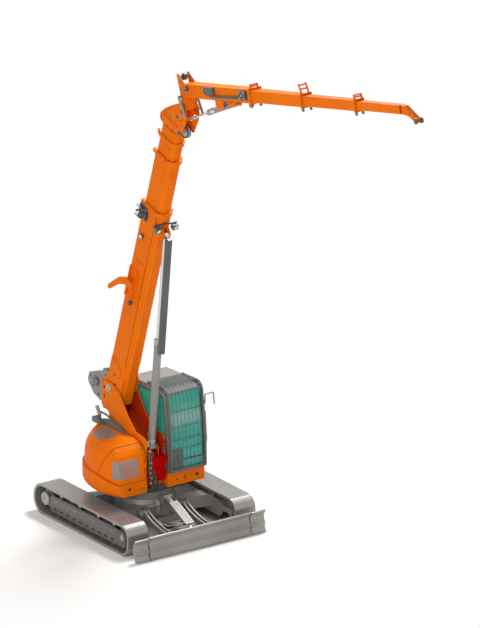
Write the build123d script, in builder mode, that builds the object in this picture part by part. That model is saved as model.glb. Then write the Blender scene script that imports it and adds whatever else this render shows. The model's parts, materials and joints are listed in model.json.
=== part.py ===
from build123d import *

import os
from math import atan2, cos, degrees, hypot, radians, sin

# All sizes are millimetres. X points forwards, Y to the machine's left, Z up from the ground.
# Side-view points are (x, z) with x measured from the slew axis.
SLEW_X = -3690.0        # slew axis, behind the middle of the whole length because the jib reaches out
FIT = 0.3               # running fit of pins, pads and rings
PIN_GAP = 6.0           # side gap between a swinging eye and its lugs

# Tracks
TRACK_LENGTH = 3070.0
TRACK_HEIGHT = 600.0
TRACK_OUTER = 1420.0    # outer edge of the shoes from the middle
SHOE_WIDTH = 450.0
BELT = 50.0             # thickness of the shoe loop
SHOE_COUNT = 66
SHOE_GAP = 9.0
SHOE_GAP_DEPTH = 9.0
REAR_RADIUS = 290.0
FRONT_RADIUS = 225.0
SPROCKET_TEETH = 17
ROLLER_COUNT = 6
ROLLER_RADIUS = 72.0
ROLLER_SPACING = 345.0
SKIRT = 15.0            # side plates of a track frame
SKIRT_OUTER = TRACK_OUTER - 75.0
SKIRT_INNER = TRACK_OUTER - 375.0

# Car body and slew ring
BODY_TOP = 580.0
BODY_FLOOR = 250.0
RING_RADIUS = 520.0
RING_HEIGHT = 120.0
DECK_HEIGHT = 760.0     # underside of the revolving frame
DECK_THICK = 60.0

# Blade
BLADE_WIDTH = 2900.0
BLADE_HEIGHT = 440.0
BLADE_FRONT = 1860.0
BLADE_CLEARANCE = 22.0
WING_WIDTH = 320.0
BLADE_PIN = (640.0, 400.0)
BLADE_PIN_RADIUS = 32.0
ARM_SIDE = 430.0        # arm's middle from the middle plane
ARM_WIDTH = 110.0
BLADE_CYLINDER_FOOT = (740.0, 650.0)
BLADE_CYLINDER_EYE = (1570.0, 260.0)
BLADE_BARREL_RADIUS = 52.0
BLADE_ROD_RADIUS = 27.0

# Revolving frame
TAIL_RADIUS = 1141.0
DECK_FRONT = 587.0
HOOD_SETBACK = 43.0     # hood's outline inside the counterweight's
HOOD_INNER = -345.0     # hood's inner wall beside the boom pedestal
HOOD_FLOOR = 775.0
HOOD_TOP = 1720.0
PANEL = 12.0

# Boom pedestal
BOOM_Y = -100.0         # middle plane of boom, jib and derrick cylinder
PEDESTAL_HALF = 210.0   # outer face of a pedestal plate from the boom's plane
PEDESTAL_PLATE = 25.0
PIVOT = (-698.0, 2415.0)
PIVOT_PIN_RADIUS = 45.0

# Boom, measured in its own frame: s along it from the foot pin, w towards its upper side
BOOM_ANGLE = 72.75
BOOM_UPPER = 134.0      # upper face above the foot pin
# name, width, depth, lower bevel, inner end, outer end
BOOM_SECTIONS = [
    ("boom_base", 330.0, 500.0, 76.0, -180.0, 4150.0),
    ("boom_section_2", 298.0, 464.0, 70.0, 1150.0, 5300.0),
    ("boom_section_3", 266.0, 428.0, 64.0, 1800.0, 5800.0),
]
BOOM_WALL = 8.0
COLLAR = 26.0           # how far a section's end collar stands out
COLLAR_LENGTH = 70.0

# Derrick cylinder
DERRICK_FOOT = (370.0, 1550.0)
DERRICK_EYE = (3716.0, -451.0)      # in the boom's frame
DERRICK_BARREL_RADIUS = 72.0
DERRICK_BARREL_LENGTH = 2200.0
DERRICK_ROD_RADIUS = 43.0
GUARD_OFFSET = 125.0
GUARD_WIDTH = 136.0
GUARD_LENGTH = 2300.0

# Fly jib, measured in its own frame: s along it from its pin, w upwards
JIB_ANGLE = 13.6
JIB_PIN = (6490.0, -414.0)          # in the boom's frame
JIB_MIDDLE = 390.0                  # middle of the jib above its pin
# name, width, depth, inner end, outer end
JIB_SECTIONS = [
    ("jib_base", 240.0, 250.0, 60.0, 2250.0),
    ("jib_section_2", 210.0, 220.0, 1750.0, 3900.0),
    ("jib_section_3", 180.0, 190.0, 3450.0, 5600.0),
    ("jib_section_4", 150.0, 160.0, 5150.0, 6980.0),
]
JIB_WALL = 7.0
JIB_ROD_EYE = (6345.0, -478.0)      # in the boom's frame
JIB_CYLINDER_FOOT = (1570.0, 200.0)
JIB_BARREL_RADIUS = 46.0
JIB_ROD_RADIUS = 24.0

# Cab
CAB_RIGHT = 125.0
CAB_LEFT = 945.0
CAB_REAR = -850.0
CAB_FLOOR = 1035.0
CAB_ROOF = 2600.0
CAB_WALL = 40.0
GLASS = 6.0

# Colours of the pieces
ORANGE, GREY, DARK = Color(0.95, 0.42, 0.08), Color(0.55, 0.55, 0.54), Color(0.3, 0.32, 0.33)
TEAL, RED, CHROME = Color(0.1, 0.65, 0.55), Color(0.75, 0.05, 0.05), Color(0.8, 0.8, 0.8)

os.makedirs("parts", exist_ok=True)


def side(y):
    """Plane of a side view at y: local x forwards from the slew axis, local y up."""
    return Plane(origin=(SLEW_X, y, 0), x_dir=(1, 0, 0), z_dir=(0, -1, 0))


def level(z):
    """Horizontal plane at z, centred on the slew axis."""
    return Plane(origin=(SLEW_X, 0, z))


def across(x):
    """Plane facing forwards at x: local x to the left, local y up."""
    return Plane(origin=(SLEW_X + x, 0, 0), x_dir=(0, 1, 0), z_dir=(1, 0, 0))


def turned(origin, angle):
    """Side-view frame with its own origin and slope, as a function of y."""
    def frame(y):
        return Plane(
            origin=(SLEW_X + origin[0], y, origin[1]),
            x_dir=(cos(radians(angle)), 0, sin(radians(angle))),
            z_dir=(0, -1, 0),
        )
    return frame


def placed(origin, angle, point):
    """Side-view point (x, z) of a point given in a turned frame."""
    c, s = cos(radians(angle)), sin(radians(angle))
    return (origin[0] + point[0] * c - point[1] * s, origin[1] + point[0] * s + point[1] * c)


def slope(start, end):
    """Angle of the line from start to end, in degrees."""
    return degrees(atan2(end[1] - start[1], end[0] - start[0]))


def distance(start, end):
    """Length of the line from start to end."""
    return hypot(end[0] - start[0], end[1] - start[1])


def slab(outline, y_low, y_high, frame=side, mode=Mode.ADD, radius=0.0):
    """Plate of a side-view outline between two y values, its corners rounded by radius."""
    with BuildSketch(frame(y_high)) as face:
        with BuildLine():
            Polyline(*outline, close=True)
        make_face()
        if radius:
            fillet(face.vertices(), radius=radius)
    extrude(face.sketch, amount=y_high - y_low, mode=mode)


def bar(centre, radius, y_low, y_high, frame=side, mode=Mode.ADD):
    """Round bar or hole along y."""
    with BuildSketch(frame(y_high)) as face:
        with Locations(centre):
            Circle(radius)
    extrude(face.sketch, amount=y_high - y_low, mode=mode)


def block(x_range, y_range, z_range, mode=Mode.ADD):
    """Rectangular block between pairs of x, y and z."""
    x0, x1 = x_range
    z0, z1 = z_range
    slab([(x0, z0), (x1, z0), (x1, z1), (x0, z1)], *y_range, mode=mode)


def rod_along(frame, radius, start, end, y, w=0.0, mode=Mode.ADD):
    """Round bar along a turned frame's own x, from start to end."""
    base = frame(y)
    point = base.from_local_coords(Vector(start, w, 0))
    with BuildSketch(Plane(origin=point, x_dir=(0, 1, 0), z_dir=base.x_dir)) as face:
        Circle(radius)
    extrude(face.sketch, amount=end - start, mode=mode)


def finish(builder, name, color):
    """Names a finished piece and writes its file."""
    builder.part.label = name
    builder.part.color = color
    export_step(builder.part, f"parts/{name}.step")


# Tracks: one closed loop of shoes, a frame, a sprocket, an idler and rollers on each side
TRACK_FRONT = TRACK_LENGTH / 2
TRACK_MIDDLE = TRACK_OUTER - SHOE_WIDTH / 2
SPROCKET = (-TRACK_FRONT + REAR_RADIUS, TRACK_HEIGHT / 2)
IDLER_RADIUS = 232.0
IDLER = (TRACK_FRONT - BELT - FIT - IDLER_RADIUS, TRACK_HEIGHT / 2)
FRAME_FLOOR = 215.0
FRAME_TOP = 415.0


def loop_corners(inset):
    """Corner points of the shoe loop, inset from its outer outline."""
    x, low, high = TRACK_FRONT - inset, inset, TRACK_HEIGHT - inset
    return [(x, low), (x, high), (-x, high), (-x, low)]


def loop_radii(inset):
    """Corner radii of the shoe loop, inset from its outer outline."""
    return [FRONT_RADIUS - inset, FRONT_RADIUS - inset, REAR_RADIUS - inset, REAR_RADIUS - inset]


for name, hand in (("left", 1), ("right", -1)):
    low, high = sorted((hand * (TRACK_OUTER - SHOE_WIDTH), hand * TRACK_OUTER))

    with BuildPart() as track:
        with BuildSketch(side(high)):
            with BuildLine() as outer:
                FilletPolyline(*loop_corners(0), radius=loop_radii(0), close=True)
            make_face()
            with BuildLine():
                FilletPolyline(*loop_corners(BELT), radius=loop_radii(BELT), close=True)
            make_face(mode=Mode.SUBTRACT)
            ring = outer.wires()[0]
            for shoe in range(SHOE_COUNT):
                spot = ring.position_at(shoe / SHOE_COUNT)
                turn = ring.tangent_angle_at(shoe / SHOE_COUNT)
                with Locations((spot.X, spot.Y)):
                    Rectangle(SHOE_GAP, 2 * SHOE_GAP_DEPTH, rotation=turn, mode=Mode.SUBTRACT)
        extrude(amount=SHOE_WIDTH)
    finish(track, f"track_{name}", GREY)

    with BuildPart() as frame:
        slab(
            [(-950, FRAME_FLOOR + 60), (-900, FRAME_TOP), (900, FRAME_TOP), (1010, 360), (1010, FRAME_FLOOR),
             (-900, FRAME_FLOOR)],
            *sorted((hand * SKIRT_INNER, hand * SKIRT_OUTER)),
        )
        for edge in (SKIRT_INNER, SKIRT_OUTER - SKIRT):
            slab(
                [(-960, 300), (-930, 110), (930, 110), (1000, 180), (1000, 300)],
                *sorted((hand * edge, hand * (edge + SKIRT))),
            )
        for x in (SPROCKET[0], IDLER[0]):
            bar((x, TRACK_HEIGHT / 2), 60, *sorted((hand * SKIRT_INNER, hand * SKIRT_OUTER)))
        slab(
            [(IDLER[0] - 40, 350), (IDLER[0] - 40, 250), (950, 235), (950, 370)],
            *sorted((hand * (SKIRT_OUTER - SKIRT), hand * SKIRT_OUTER)),
        )
        slab(
            [(IDLER[0] - 40, 350), (IDLER[0] - 40, 250), (950, 235), (950, 370)],
            *sorted((hand * SKIRT_INNER, hand * (SKIRT_INNER + SKIRT))),
        )
        slab(
            [(SPROCKET[0] + 40, 350), (SPROCKET[0] + 40, 250), (-900, 240), (-900, 390)],
            *sorted((hand * SKIRT_INNER, hand * (SKIRT_INNER + SKIRT))),
        )
        for x in (-520, 330):
            slab(
                [(x - 60, FRAME_TOP), (x + 60, FRAME_TOP), (x + 35, 520), (x - 35, 520)],
                *sorted((hand * (SKIRT_INNER + 90), hand * (SKIRT_OUTER - 90))),
            )
            bar((x, TRACK_HEIGHT - BELT - FIT - 42), 42,
                *sorted((hand * (SKIRT_INNER + 40), hand * (SKIRT_OUTER - 40))))
    finish(frame, f"side_frame_{name}", GREY)

    with BuildPart() as rollers:
        for n in range(ROLLER_COUNT):
            x = (n - (ROLLER_COUNT - 1) / 2) * ROLLER_SPACING
            centre = (x, BELT + FIT + ROLLER_RADIUS)
            bar(centre, ROLLER_RADIUS - 14, *sorted((hand * (SKIRT_INNER + SKIRT + 20), hand * (SKIRT_OUTER - SKIRT - 20))))
            for edge in (SKIRT_INNER + SKIRT + 20, SKIRT_OUTER - SKIRT - 90):
                bar(centre, ROLLER_RADIUS, *sorted((hand * edge, hand * (edge + 70))))
            bar(centre, 22, *sorted((hand * (SKIRT_INNER + SKIRT), hand * (SKIRT_OUTER - SKIRT))))
    finish(rollers, f"rollers_{name}", DARK)

    with BuildPart() as sprocket:
        with BuildSketch(side(hand * TRACK_MIDDLE + 35)):
            with Locations(SPROCKET):
                Circle(REAR_RADIUS - BELT - FIT)
                with PolarLocations(REAR_RADIUS - BELT + 4, SPROCKET_TEETH):
                    Circle(19, mode=Mode.SUBTRACT)
                Circle(60 + FIT, mode=Mode.SUBTRACT)
        extrude(amount=70)
        with BuildSketch(side(hand * TRACK_MIDDLE + 35)) as rim:
            with Locations(SPROCKET):
                Circle(165)
                Circle(60 + FIT, mode=Mode.SUBTRACT)
        extrude(rim.sketch, amount=-45 if hand > 0 else 115)
    finish(sprocket, f"sprocket_{name}", GREY)

    with BuildPart() as idler:
        with BuildSketch(side(hand * TRACK_MIDDLE + 60)):
            with Locations(IDLER):
                Circle(IDLER_RADIUS)
                Circle(60 + FIT, mode=Mode.SUBTRACT)
        extrude(amount=120)
    finish(idler, f"idler_{name}", GREY)

# Car body: a cross-shaped box between the side frames, with lugs for the blade and its cylinder
LEG_INNER, LEG_OUTER = 250.0, 555.0
blade_angle = slope(BLADE_CYLINDER_FOOT, BLADE_CYLINDER_EYE)
blade_reach = distance(BLADE_CYLINDER_FOOT, BLADE_CYLINDER_EYE)
LUG = 22.0
TOW_EYE = (-690.0, 385.0)
TOW_RADIUS = 25.0
TOW_THICK = 40.0

with BuildPart() as car_body:
    with BuildSketch(level(BODY_FLOOR)):
        Circle(RING_RADIUS + 60)
        for front in (1, -1):
            for hand in (1, -1):
                with BuildLine():
                    Polyline(
                        (front * LEG_INNER, 0),
                        (front * (LEG_OUTER - 90), hand * SKIRT_INNER),
                        (front * (LEG_OUTER + 180), hand * SKIRT_INNER),
                        (front * (LEG_OUTER - 40), hand * 330),
                        (front * (LEG_OUTER - 40), 0),
                        close=True,
                    )
                make_face()
    extrude(amount=BODY_TOP - BODY_FLOOR - 90)
    with BuildSketch(level(BODY_TOP - 90)):
        Circle(RING_RADIUS + 60)
    extrude(amount=90, taper=12)
    with BuildSketch(level(BODY_TOP)) as ring_low:
        Circle(RING_RADIUS)
        Circle(RING_RADIUS - 160, mode=Mode.SUBTRACT)
    extrude(ring_low.sketch, amount=RING_HEIGHT)
    for y in (-ARM_SIDE, ARM_SIDE):
        for edge in (-1, 1):
            inner = y + edge * (ARM_WIDTH / 2 + PIN_GAP)
            slab(
                [(460, 300), (620, 300), (BLADE_PIN[0] + 62, BLADE_PIN[1] - 40), (BLADE_PIN[0] + 62, BLADE_PIN[1] + 40),
                 (BLADE_PIN[0] + 10, BLADE_PIN[1] + 75), (460, BODY_TOP - 95)],
                *sorted((inner, inner + edge * LUG)),
            )
        bar(BLADE_PIN, BLADE_PIN_RADIUS, y - ARM_WIDTH / 2 - PIN_GAP - LUG, y + ARM_WIDTH / 2 + PIN_GAP + LUG)
    for edge in (-1, 1):
        inner = edge * (BLADE_BARREL_RADIUS + PIN_GAP)
        slab(
            [(430, BODY_TOP - 130), (600, BODY_TOP - 130), (BLADE_CYLINDER_FOOT[0] + 48, BLADE_CYLINDER_FOOT[1] - 30),
             (BLADE_CYLINDER_FOOT[0] + 48, BLADE_CYLINDER_FOOT[1] + 25),
             (BLADE_CYLINDER_FOOT[0] - 10, BLADE_CYLINDER_FOOT[1] + 52), (RING_RADIUS + 20, BODY_TOP + 60),
             (430, BODY_TOP - 20)],
            *sorted((inner, inner + edge * LUG)),
        )
    bar(BLADE_CYLINDER_FOOT, 26, -BLADE_BARREL_RADIUS - PIN_GAP - LUG, BLADE_BARREL_RADIUS + PIN_GAP + LUG)
    slab([(-540, 330), (-600, TOW_EYE[1] - TOW_THICK / 2), (TOW_EYE[0], TOW_EYE[1] - TOW_THICK / 2),
          (TOW_EYE[0], TOW_EYE[1] + TOW_THICK / 2), (-600, TOW_EYE[1] + TOW_THICK / 2), (-540, 440)], -60, 60)
    for mode, radius in ((Mode.ADD, 60), (Mode.SUBTRACT, TOW_RADIUS)):
        with BuildSketch(level(TOW_EYE[1] - TOW_THICK / 2)) as face:
            with Locations((TOW_EYE[0], 0)):
                Circle(radius)
        extrude(face.sketch, amount=TOW_THICK, mode=mode)
finish(car_body, "car_body", GREY)

# Blade: a mouldboard of two hollows and a mid ridge, with curved arms and a lug for the rod
BLADE_THICK = 28.0
RIDGE_HEIGHT = 190.0
SEAM_GAP = 12.0


def mouldboard_outline(drop):
    """Side outline of the mouldboard, its front in two hollows, lowered by drop."""
    foot, ridge, rim = BLADE_CLEARANCE - drop, RIDGE_HEIGHT - drop, BLADE_HEIGHT - drop
    front = BLADE_FRONT
    ThreePointArc((front, foot), (front - 62, (foot + ridge) / 2 - 10), (front - 30, ridge))
    ThreePointArc((front - 30, ridge), (front - 98, (ridge + rim) / 2 - 15), (front - 42, rim - 34))
    ThreePointArc((front - 42, rim - 34), (front - 66, rim), (front - 92, rim - 30))
    Polyline(
        (front - 92, rim - 30),
        (front - 98 - BLADE_THICK - 14, (ridge + rim) / 2 - 20),
        (front - 98 - BLADE_THICK, ridge - 20),
        (front - 30 - BLADE_THICK, foot),
        (front, foot),
    )


with BuildPart() as blade:
    half, seam = BLADE_WIDTH / 2, BLADE_WIDTH / 2 - WING_WIDTH
    for start, end, drop in ((-seam, seam, 0.0), (-half, -seam, 10.0), (seam, half, 10.0)):
        with BuildSketch(side(end)) as face:
            with BuildLine():
                mouldboard_outline(drop)
            make_face()
        extrude(face.sketch, amount=end - start)
    for y in (-seam, seam):
        slab([(BLADE_FRONT - 175, 60), (BLADE_FRONT - 75, 40), (BLADE_FRONT - 105, 200), (BLADE_FRONT - 120, 400),
              (BLADE_FRONT - 165, 400)], y - 14, y + 14)
    slab([(BLADE_FRONT - 230, 150), (BLADE_FRONT - 110, 110), (BLADE_FRONT - 110, 250), (BLADE_FRONT - 210, 260)],
         -seam + 60, seam - 60)
    for y in (-ARM_SIDE, ARM_SIDE):
        with BuildSketch(side(y + ARM_WIDTH / 2)) as face:
            with BuildLine():
                Polyline((BLADE_PIN[0], BLADE_PIN[1] - 60), (960, 330), (1250, 185), (BLADE_FRONT - 180, 120),
                         (BLADE_FRONT - 180, 260), (1400, 285), (1060, 470), (760, 500),
                         (BLADE_PIN[0], BLADE_PIN[1] + 60), close=True)
            make_face()
            fillet(face.vertices().sort_by(Axis.X)[2:-2], radius=110)
            with Locations(BLADE_PIN):
                Circle(60)
                Circle(BLADE_PIN_RADIUS + FIT, mode=Mode.SUBTRACT)
        extrude(face.sketch, amount=ARM_WIDTH)
    bar((1290, 238), 38, -ARM_SIDE, ARM_SIDE)
    for edge in (-1, 1):
        inner = edge * (BLADE_ROD_RADIUS + 8 + PIN_GAP)
        slab([(BLADE_FRONT - 150, 130), (BLADE_FRONT - 110, 330), (BLADE_FRONT - 190, 335),
              (BLADE_CYLINDER_EYE[0] - 45, BLADE_CYLINDER_EYE[1] + 35), (BLADE_CYLINDER_EYE[0] - 45, 190),
              (BLADE_FRONT - 240, 140)], *sorted((inner, inner + edge * LUG)))
        bar(BLADE_CYLINDER_EYE, 34, *sorted((inner + edge * LUG, inner + edge * (LUG + 14))))
finish(blade, "blade", GREY)

blade_line = turned(BLADE_CYLINDER_FOOT, blade_angle)
BLADE_BARREL_END = 560.0

with BuildPart() as blade_barrel:
    bar((0, 0), BLADE_BARREL_RADIUS - 5, -BLADE_BARREL_RADIUS, BLADE_BARREL_RADIUS, frame=blade_line)
    rod_along(blade_line, BLADE_BARREL_RADIUS, 20, BLADE_BARREL_END, 0)
    rod_along(blade_line, BLADE_BARREL_RADIUS + 8, BLADE_BARREL_END - 60, BLADE_BARREL_END, 0)
    rod_along(blade_line, BLADE_ROD_RADIUS + FIT, 60, BLADE_BARREL_END + 1, 0, mode=Mode.SUBTRACT)
    bar((0, 0), 26 + FIT, -100, 100, frame=blade_line, mode=Mode.SUBTRACT)
    slab([(190, BLADE_BARREL_RADIUS - 8), (780, BLADE_BARREL_RADIUS + 6), (780, BLADE_BARREL_RADIUS + 16),
          (190, BLADE_BARREL_RADIUS + 16)], -92, 92, frame=blade_line)
    for y in (-60, -20, 20, 60):
        slab([(230, BLADE_BARREL_RADIUS + 16), (740, BLADE_BARREL_RADIUS + 16), (740, BLADE_BARREL_RADIUS + 24),
              (230, BLADE_BARREL_RADIUS + 24)], y - 7, y + 7, frame=blade_line)
finish(blade_barrel, "blade_cylinder_barrel", GREY)

with BuildPart() as blade_rod:
    rod_along(blade_line, BLADE_ROD_RADIUS, 230, blade_reach - 25, 0)
    bar((blade_reach, 0), 40, -BLADE_ROD_RADIUS - 4, BLADE_ROD_RADIUS + 4, frame=blade_line)
    bar((blade_reach, 0), 22, -BLADE_ROD_RADIUS - 8, BLADE_ROD_RADIUS + 8, frame=blade_line)
finish(blade_rod, "blade_cylinder_rod", CHROME)

# Revolving frame: a deck with the boom pedestal's two plates and the cross plates between them
DECK_TOP = DECK_HEIGHT + DECK_THICK
PLATE_OUTLINE = [
    (500, DECK_TOP), (500, 1740), (440, 1800), (290, 1840), (-110, 2110), (-410, 2390), (-600, 2530), (-810, 2530),
    (-930, 2460), (-930, 2030), (-700, 1950), (-640, 1700), (-760, DECK_TOP),
]
PLATE_LOW, PLATE_HIGH = BOOM_Y - PEDESTAL_HALF, BOOM_Y + PEDESTAL_HALF
HOLES = [(-840, 2395, 26), (-835, 2250, 22), (150, 1500, 60), (-450, 1400, 90)]

DECK_SETBACK = 120.0    # deck's edge inside the tail circle and the cab's outline


def deck_plan(grow):
    """Plan of the deck: the tail circle with the cab's rectangle, cut off at the front."""
    front = DECK_FRONT - DECK_SETBACK / 2 + grow
    with BuildSketch(level(DECK_HEIGHT)) as floor:
        Circle(TAIL_RADIUS - DECK_SETBACK + grow)
        with Locations(((CAB_REAR + DECK_SETBACK + front) / 2, CAB_LEFT / 2)):
            Rectangle(front - CAB_REAR - DECK_SETBACK, CAB_LEFT - DECK_SETBACK + 2 * grow)
        with Locations((front + TAIL_RADIUS, 0)):
            Rectangle(2 * TAIL_RADIUS, 3 * TAIL_RADIUS, mode=Mode.SUBTRACT)
    return floor.sketch


with BuildPart() as deck:
    with BuildSketch(level(BODY_TOP + RING_HEIGHT + FIT)):
        Circle(RING_RADIUS - 30)
        Circle(RING_RADIUS - 200, mode=Mode.SUBTRACT)
    extrude(amount=DECK_HEIGHT - BODY_TOP - RING_HEIGHT - FIT + 5)
    extrude(deck_plan(0), amount=DECK_THICK)
    with Locations((SLEW_X + 0, 0, DECK_HEIGHT)):
        Cylinder(200, 300, mode=Mode.SUBTRACT)
finish(deck, "deck", DARK)

with BuildPart() as pedestal:
    for edge in (PLATE_LOW, PLATE_HIGH - PEDESTAL_PLATE):
        slab(PLATE_OUTLINE, edge, edge + PEDESTAL_PLATE)
    slab([(300, 1650), (-420, 1960), (-420, 1985), (300, 1678)], PLATE_LOW, PLATE_HIGH)
    slab([(-420, 1960), (-900, 1980), (-900, 2000), (-420, 1985)], PLATE_LOW, PLATE_HIGH)
    slab([(440, DECK_TOP), (465, DECK_TOP), (465, 1400), (440, 1400)], PLATE_LOW, PLATE_HIGH)
    slab([(300, 1380), (440, 1380), (440, 1400), (300, 1400)], PLATE_LOW, PLATE_HIGH)
    slab([(-640, DECK_TOP), (-615, DECK_TOP), (-560, 1900), (-585, 1900)], PLATE_LOW, PLATE_HIGH)
    for x, z, radius in HOLES:
        bar((x, z), radius, PLATE_LOW - 1, PLATE_HIGH + 1, mode=Mode.SUBTRACT)
    bar(PIVOT, PIVOT_PIN_RADIUS + FIT, PLATE_LOW - 1, PLATE_HIGH + 1, mode=Mode.SUBTRACT)
    for edge in (-1, 1):
        inner = BOOM_Y + edge * (DERRICK_BARREL_RADIUS + 3 + PIN_GAP)
        slab([(280, 1395), (465, 1395), (465, 1560), (DERRICK_FOOT[0] + 40, 1625), (DERRICK_FOOT[0] - 50, 1625),
              (280, 1560)], *sorted((inner, inner + edge * 26)))
    bar(DERRICK_FOOT, 38, BOOM_Y - DERRICK_BARREL_RADIUS - 35, BOOM_Y + DERRICK_BARREL_RADIUS + 35)
finish(pedestal, "pedestal", ORANGE)

# Hood over the engine at the machine's right and the counterweight round the tail
WEIGHT_TOP = 1150.0
LEDGE = [(-1400, WEIGHT_TOP), (0, WEIGHT_TOP), (470, 1050), (700, 985)]     # side line of the weight's upper edge
HOOD_FACE = [(555, 1250), (535, 1420), (495, 1550), (430, 1630), (345, 1687), (160, HOOD_TOP), (-1400, HOOD_TOP)]
HOOD_CORNER = [(-830, -520), (-700, HOOD_INNER)]    # plan of the hood's cut rear corner
# radius and height along the weight's lower edge and the hood's upper edge
WEIGHT_ROUND = [(TAIL_RADIUS - 96, HOOD_FLOOR), (TAIL_RADIUS - 23, 845), (TAIL_RADIUS, 950)]
HOOD_ROUND = [(TAIL_RADIUS - HOOD_SETBACK, 1340), (TAIL_RADIUS - 83, 1545), (TAIL_RADIUS - 201, HOOD_TOP)]
COVER_SEAM = [(50, 1097), (345, 1687), (345, 1800), (900, 1800), (900, 800), (50, 800)]
COVER_EDGE = HOOD_INNER - 25
COVER_HINGE = (DECK_FRONT + 2, COVER_EDGE - 4)
SEAM = 8.0              # open joint between a cover and its frame
ENGINE = ((-540, -60), (-TAIL_RADIUS + 270, HOOD_INNER - 95), (DECK_TOP, 1540))
FACE_CORNER = 180.0     # round corner between the hood's front and its tail
EXHAUST = (-885.0, -385.0)
EXHAUST_RADIUS = 34.0
HINGE_RADIUS = 6.0
KNUCKLE_RADIUS = 11.0
KNUCKLE = 60.0
COVER_KNUCKLES = (1090, 1290)
WEIGHT_THICK = 90.0


def tail_outline(radius, front, inner, rear_points):
    """Plan outline of the right-hand tail: front face, round corner, tail arc, rear corner."""
    turn = front - FACE_CORNER
    flank = -(radius ** 2 - turn ** 2) ** 0.5
    rear = -(radius ** 2 - rear_points[0][1] ** 2) ** 0.5
    start = (rear, rear_points[0][1])
    Line((front, inner), (front, flank + 0.8 * FACE_CORNER))
    ThreePointArc((front, flank + 0.8 * FACE_CORNER), (front - 48, flank + 48), (turn, flank))
    RadiusArc((turn, flank), start, radius)
    Polyline(start, *rear_points, (front, inner))


def turned_round(points, floor, top, mode):
    """Body of revolution about the slew axis, its rim an arc through three radius and height points."""
    start, middle, end = points
    with BuildSketch(side(0)) as face:
        with BuildLine():
            ThreePointArc(start, middle, end)
            if end[0] > start[0]:
                Polyline(end, (end[0], top), (0, top), (0, floor), start)
            else:
                Polyline(end, (0, top), (0, floor), (start[0], floor), start)
        make_face()
    revolve(face.sketch, axis=Axis((SLEW_X, 0, 0), (0, 0, 1)), revolution_arc=360, mode=mode)


def ledge_at(x):
    """Height of the ledge's front slope at x."""
    (x0, z0), (x1, z1) = LEDGE[2:]
    return z0 + (z1 - z0) * (x - x0) / (x1 - x0)


def hood_form(inset, drop):
    """Hood as a solid that stands on the ledge, shrunk by inset; drop lowers its underside."""
    radius, front = TAIL_RADIUS - HOOD_SETBACK - inset, DECK_FRONT - 12 - inset
    corner = [(x + inset, y - inset) for x, y in HOOD_CORNER]
    with BuildPart() as form:
        with BuildSketch(level(900)):
            with BuildLine():
                tail_outline(radius, front, HOOD_INNER - inset, corner)
            make_face()
        extrude(amount=HOOD_TOP)
        turned_round([(r - inset, z - inset) for r, z in HOOD_ROUND], 900 - inset, HOOD_TOP - inset, Mode.INTERSECT)
        base = [(x, z - drop) for x, z in LEDGE[:3]] + [(front, ledge_at(front) - drop)]
        if drop > 0:
            base.append((front, ledge_at(front)))
        face = [(x - inset, z - inset) for x, z in HOOD_FACE]
        slab(base + face, -TAIL_RADIUS - 50, 0, mode=Mode.INTERSECT)
    return form.part


def upright(centre, radius, z_low, z_high, mode=Mode.ADD):
    """Vertical round bar or hole at a plan point."""
    with BuildSketch(level(z_low)) as face:
        with Locations(centre):
            Circle(radius)
    extrude(face.sketch, amount=z_high - z_low, mode=mode)


def hinge_fixed(centre, z, x_range, y_range):
    """Fixed half of a hinge: two leaves and the pin, below and above the moving knuckle at z."""
    for low in (z - 26, z + KNUCKLE + 4):
        block(x_range, y_range, (low, low + 22))
    upright(centre, HINGE_RADIUS, z - 26, z + KNUCKLE + 26)


def hinge_moving(centre, z, x_range, y_range):
    """Moving half of a hinge: a knuckle with its leaf, bored for the pin."""
    upright(centre, KNUCKLE_RADIUS, z, z + KNUCKLE)
    block(x_range, y_range, (z, z + KNUCKLE))
    upright(centre, HINGE_RADIUS + FIT, z - 1, z + KNUCKLE + 1, mode=Mode.SUBTRACT)


with BuildPart() as hood_sheet:
    add(hood_form(0, 0))
    add(hood_form(PANEL, 50), mode=Mode.SUBTRACT)

with BuildPart() as engine_hood:
    add(hood_sheet.part)
    slab(COVER_SEAM, -TAIL_RADIUS - 50, COVER_EDGE, mode=Mode.SUBTRACT)
    for z in COVER_KNUCKLES:
        hinge_fixed(COVER_HINGE, z, (DECK_FRONT - 50, COVER_HINGE[0] + 2), (COVER_EDGE - 2, HOOD_INNER - 2))
finish(engine_hood, "engine_hood", ORANGE)

with BuildPart() as side_cover:
    add(hood_sheet.part)
    slab([(78, 1141), (345 + SEAM, 1687), (345 + SEAM, 1800), (900, 1800), (900, 936), (470, 1050 + SEAM)],
         -TAIL_RADIUS - 50, COVER_EDGE - SEAM, mode=Mode.INTERSECT)
    for z in COVER_KNUCKLES:
        hinge_moving(COVER_HINGE, z, (DECK_FRONT - 40, COVER_HINGE[0] + 2),
                     (COVER_EDGE - SEAM - 24, COVER_HINGE[1] - 2))
finish(side_cover, "side_cover", ORANGE)

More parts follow.
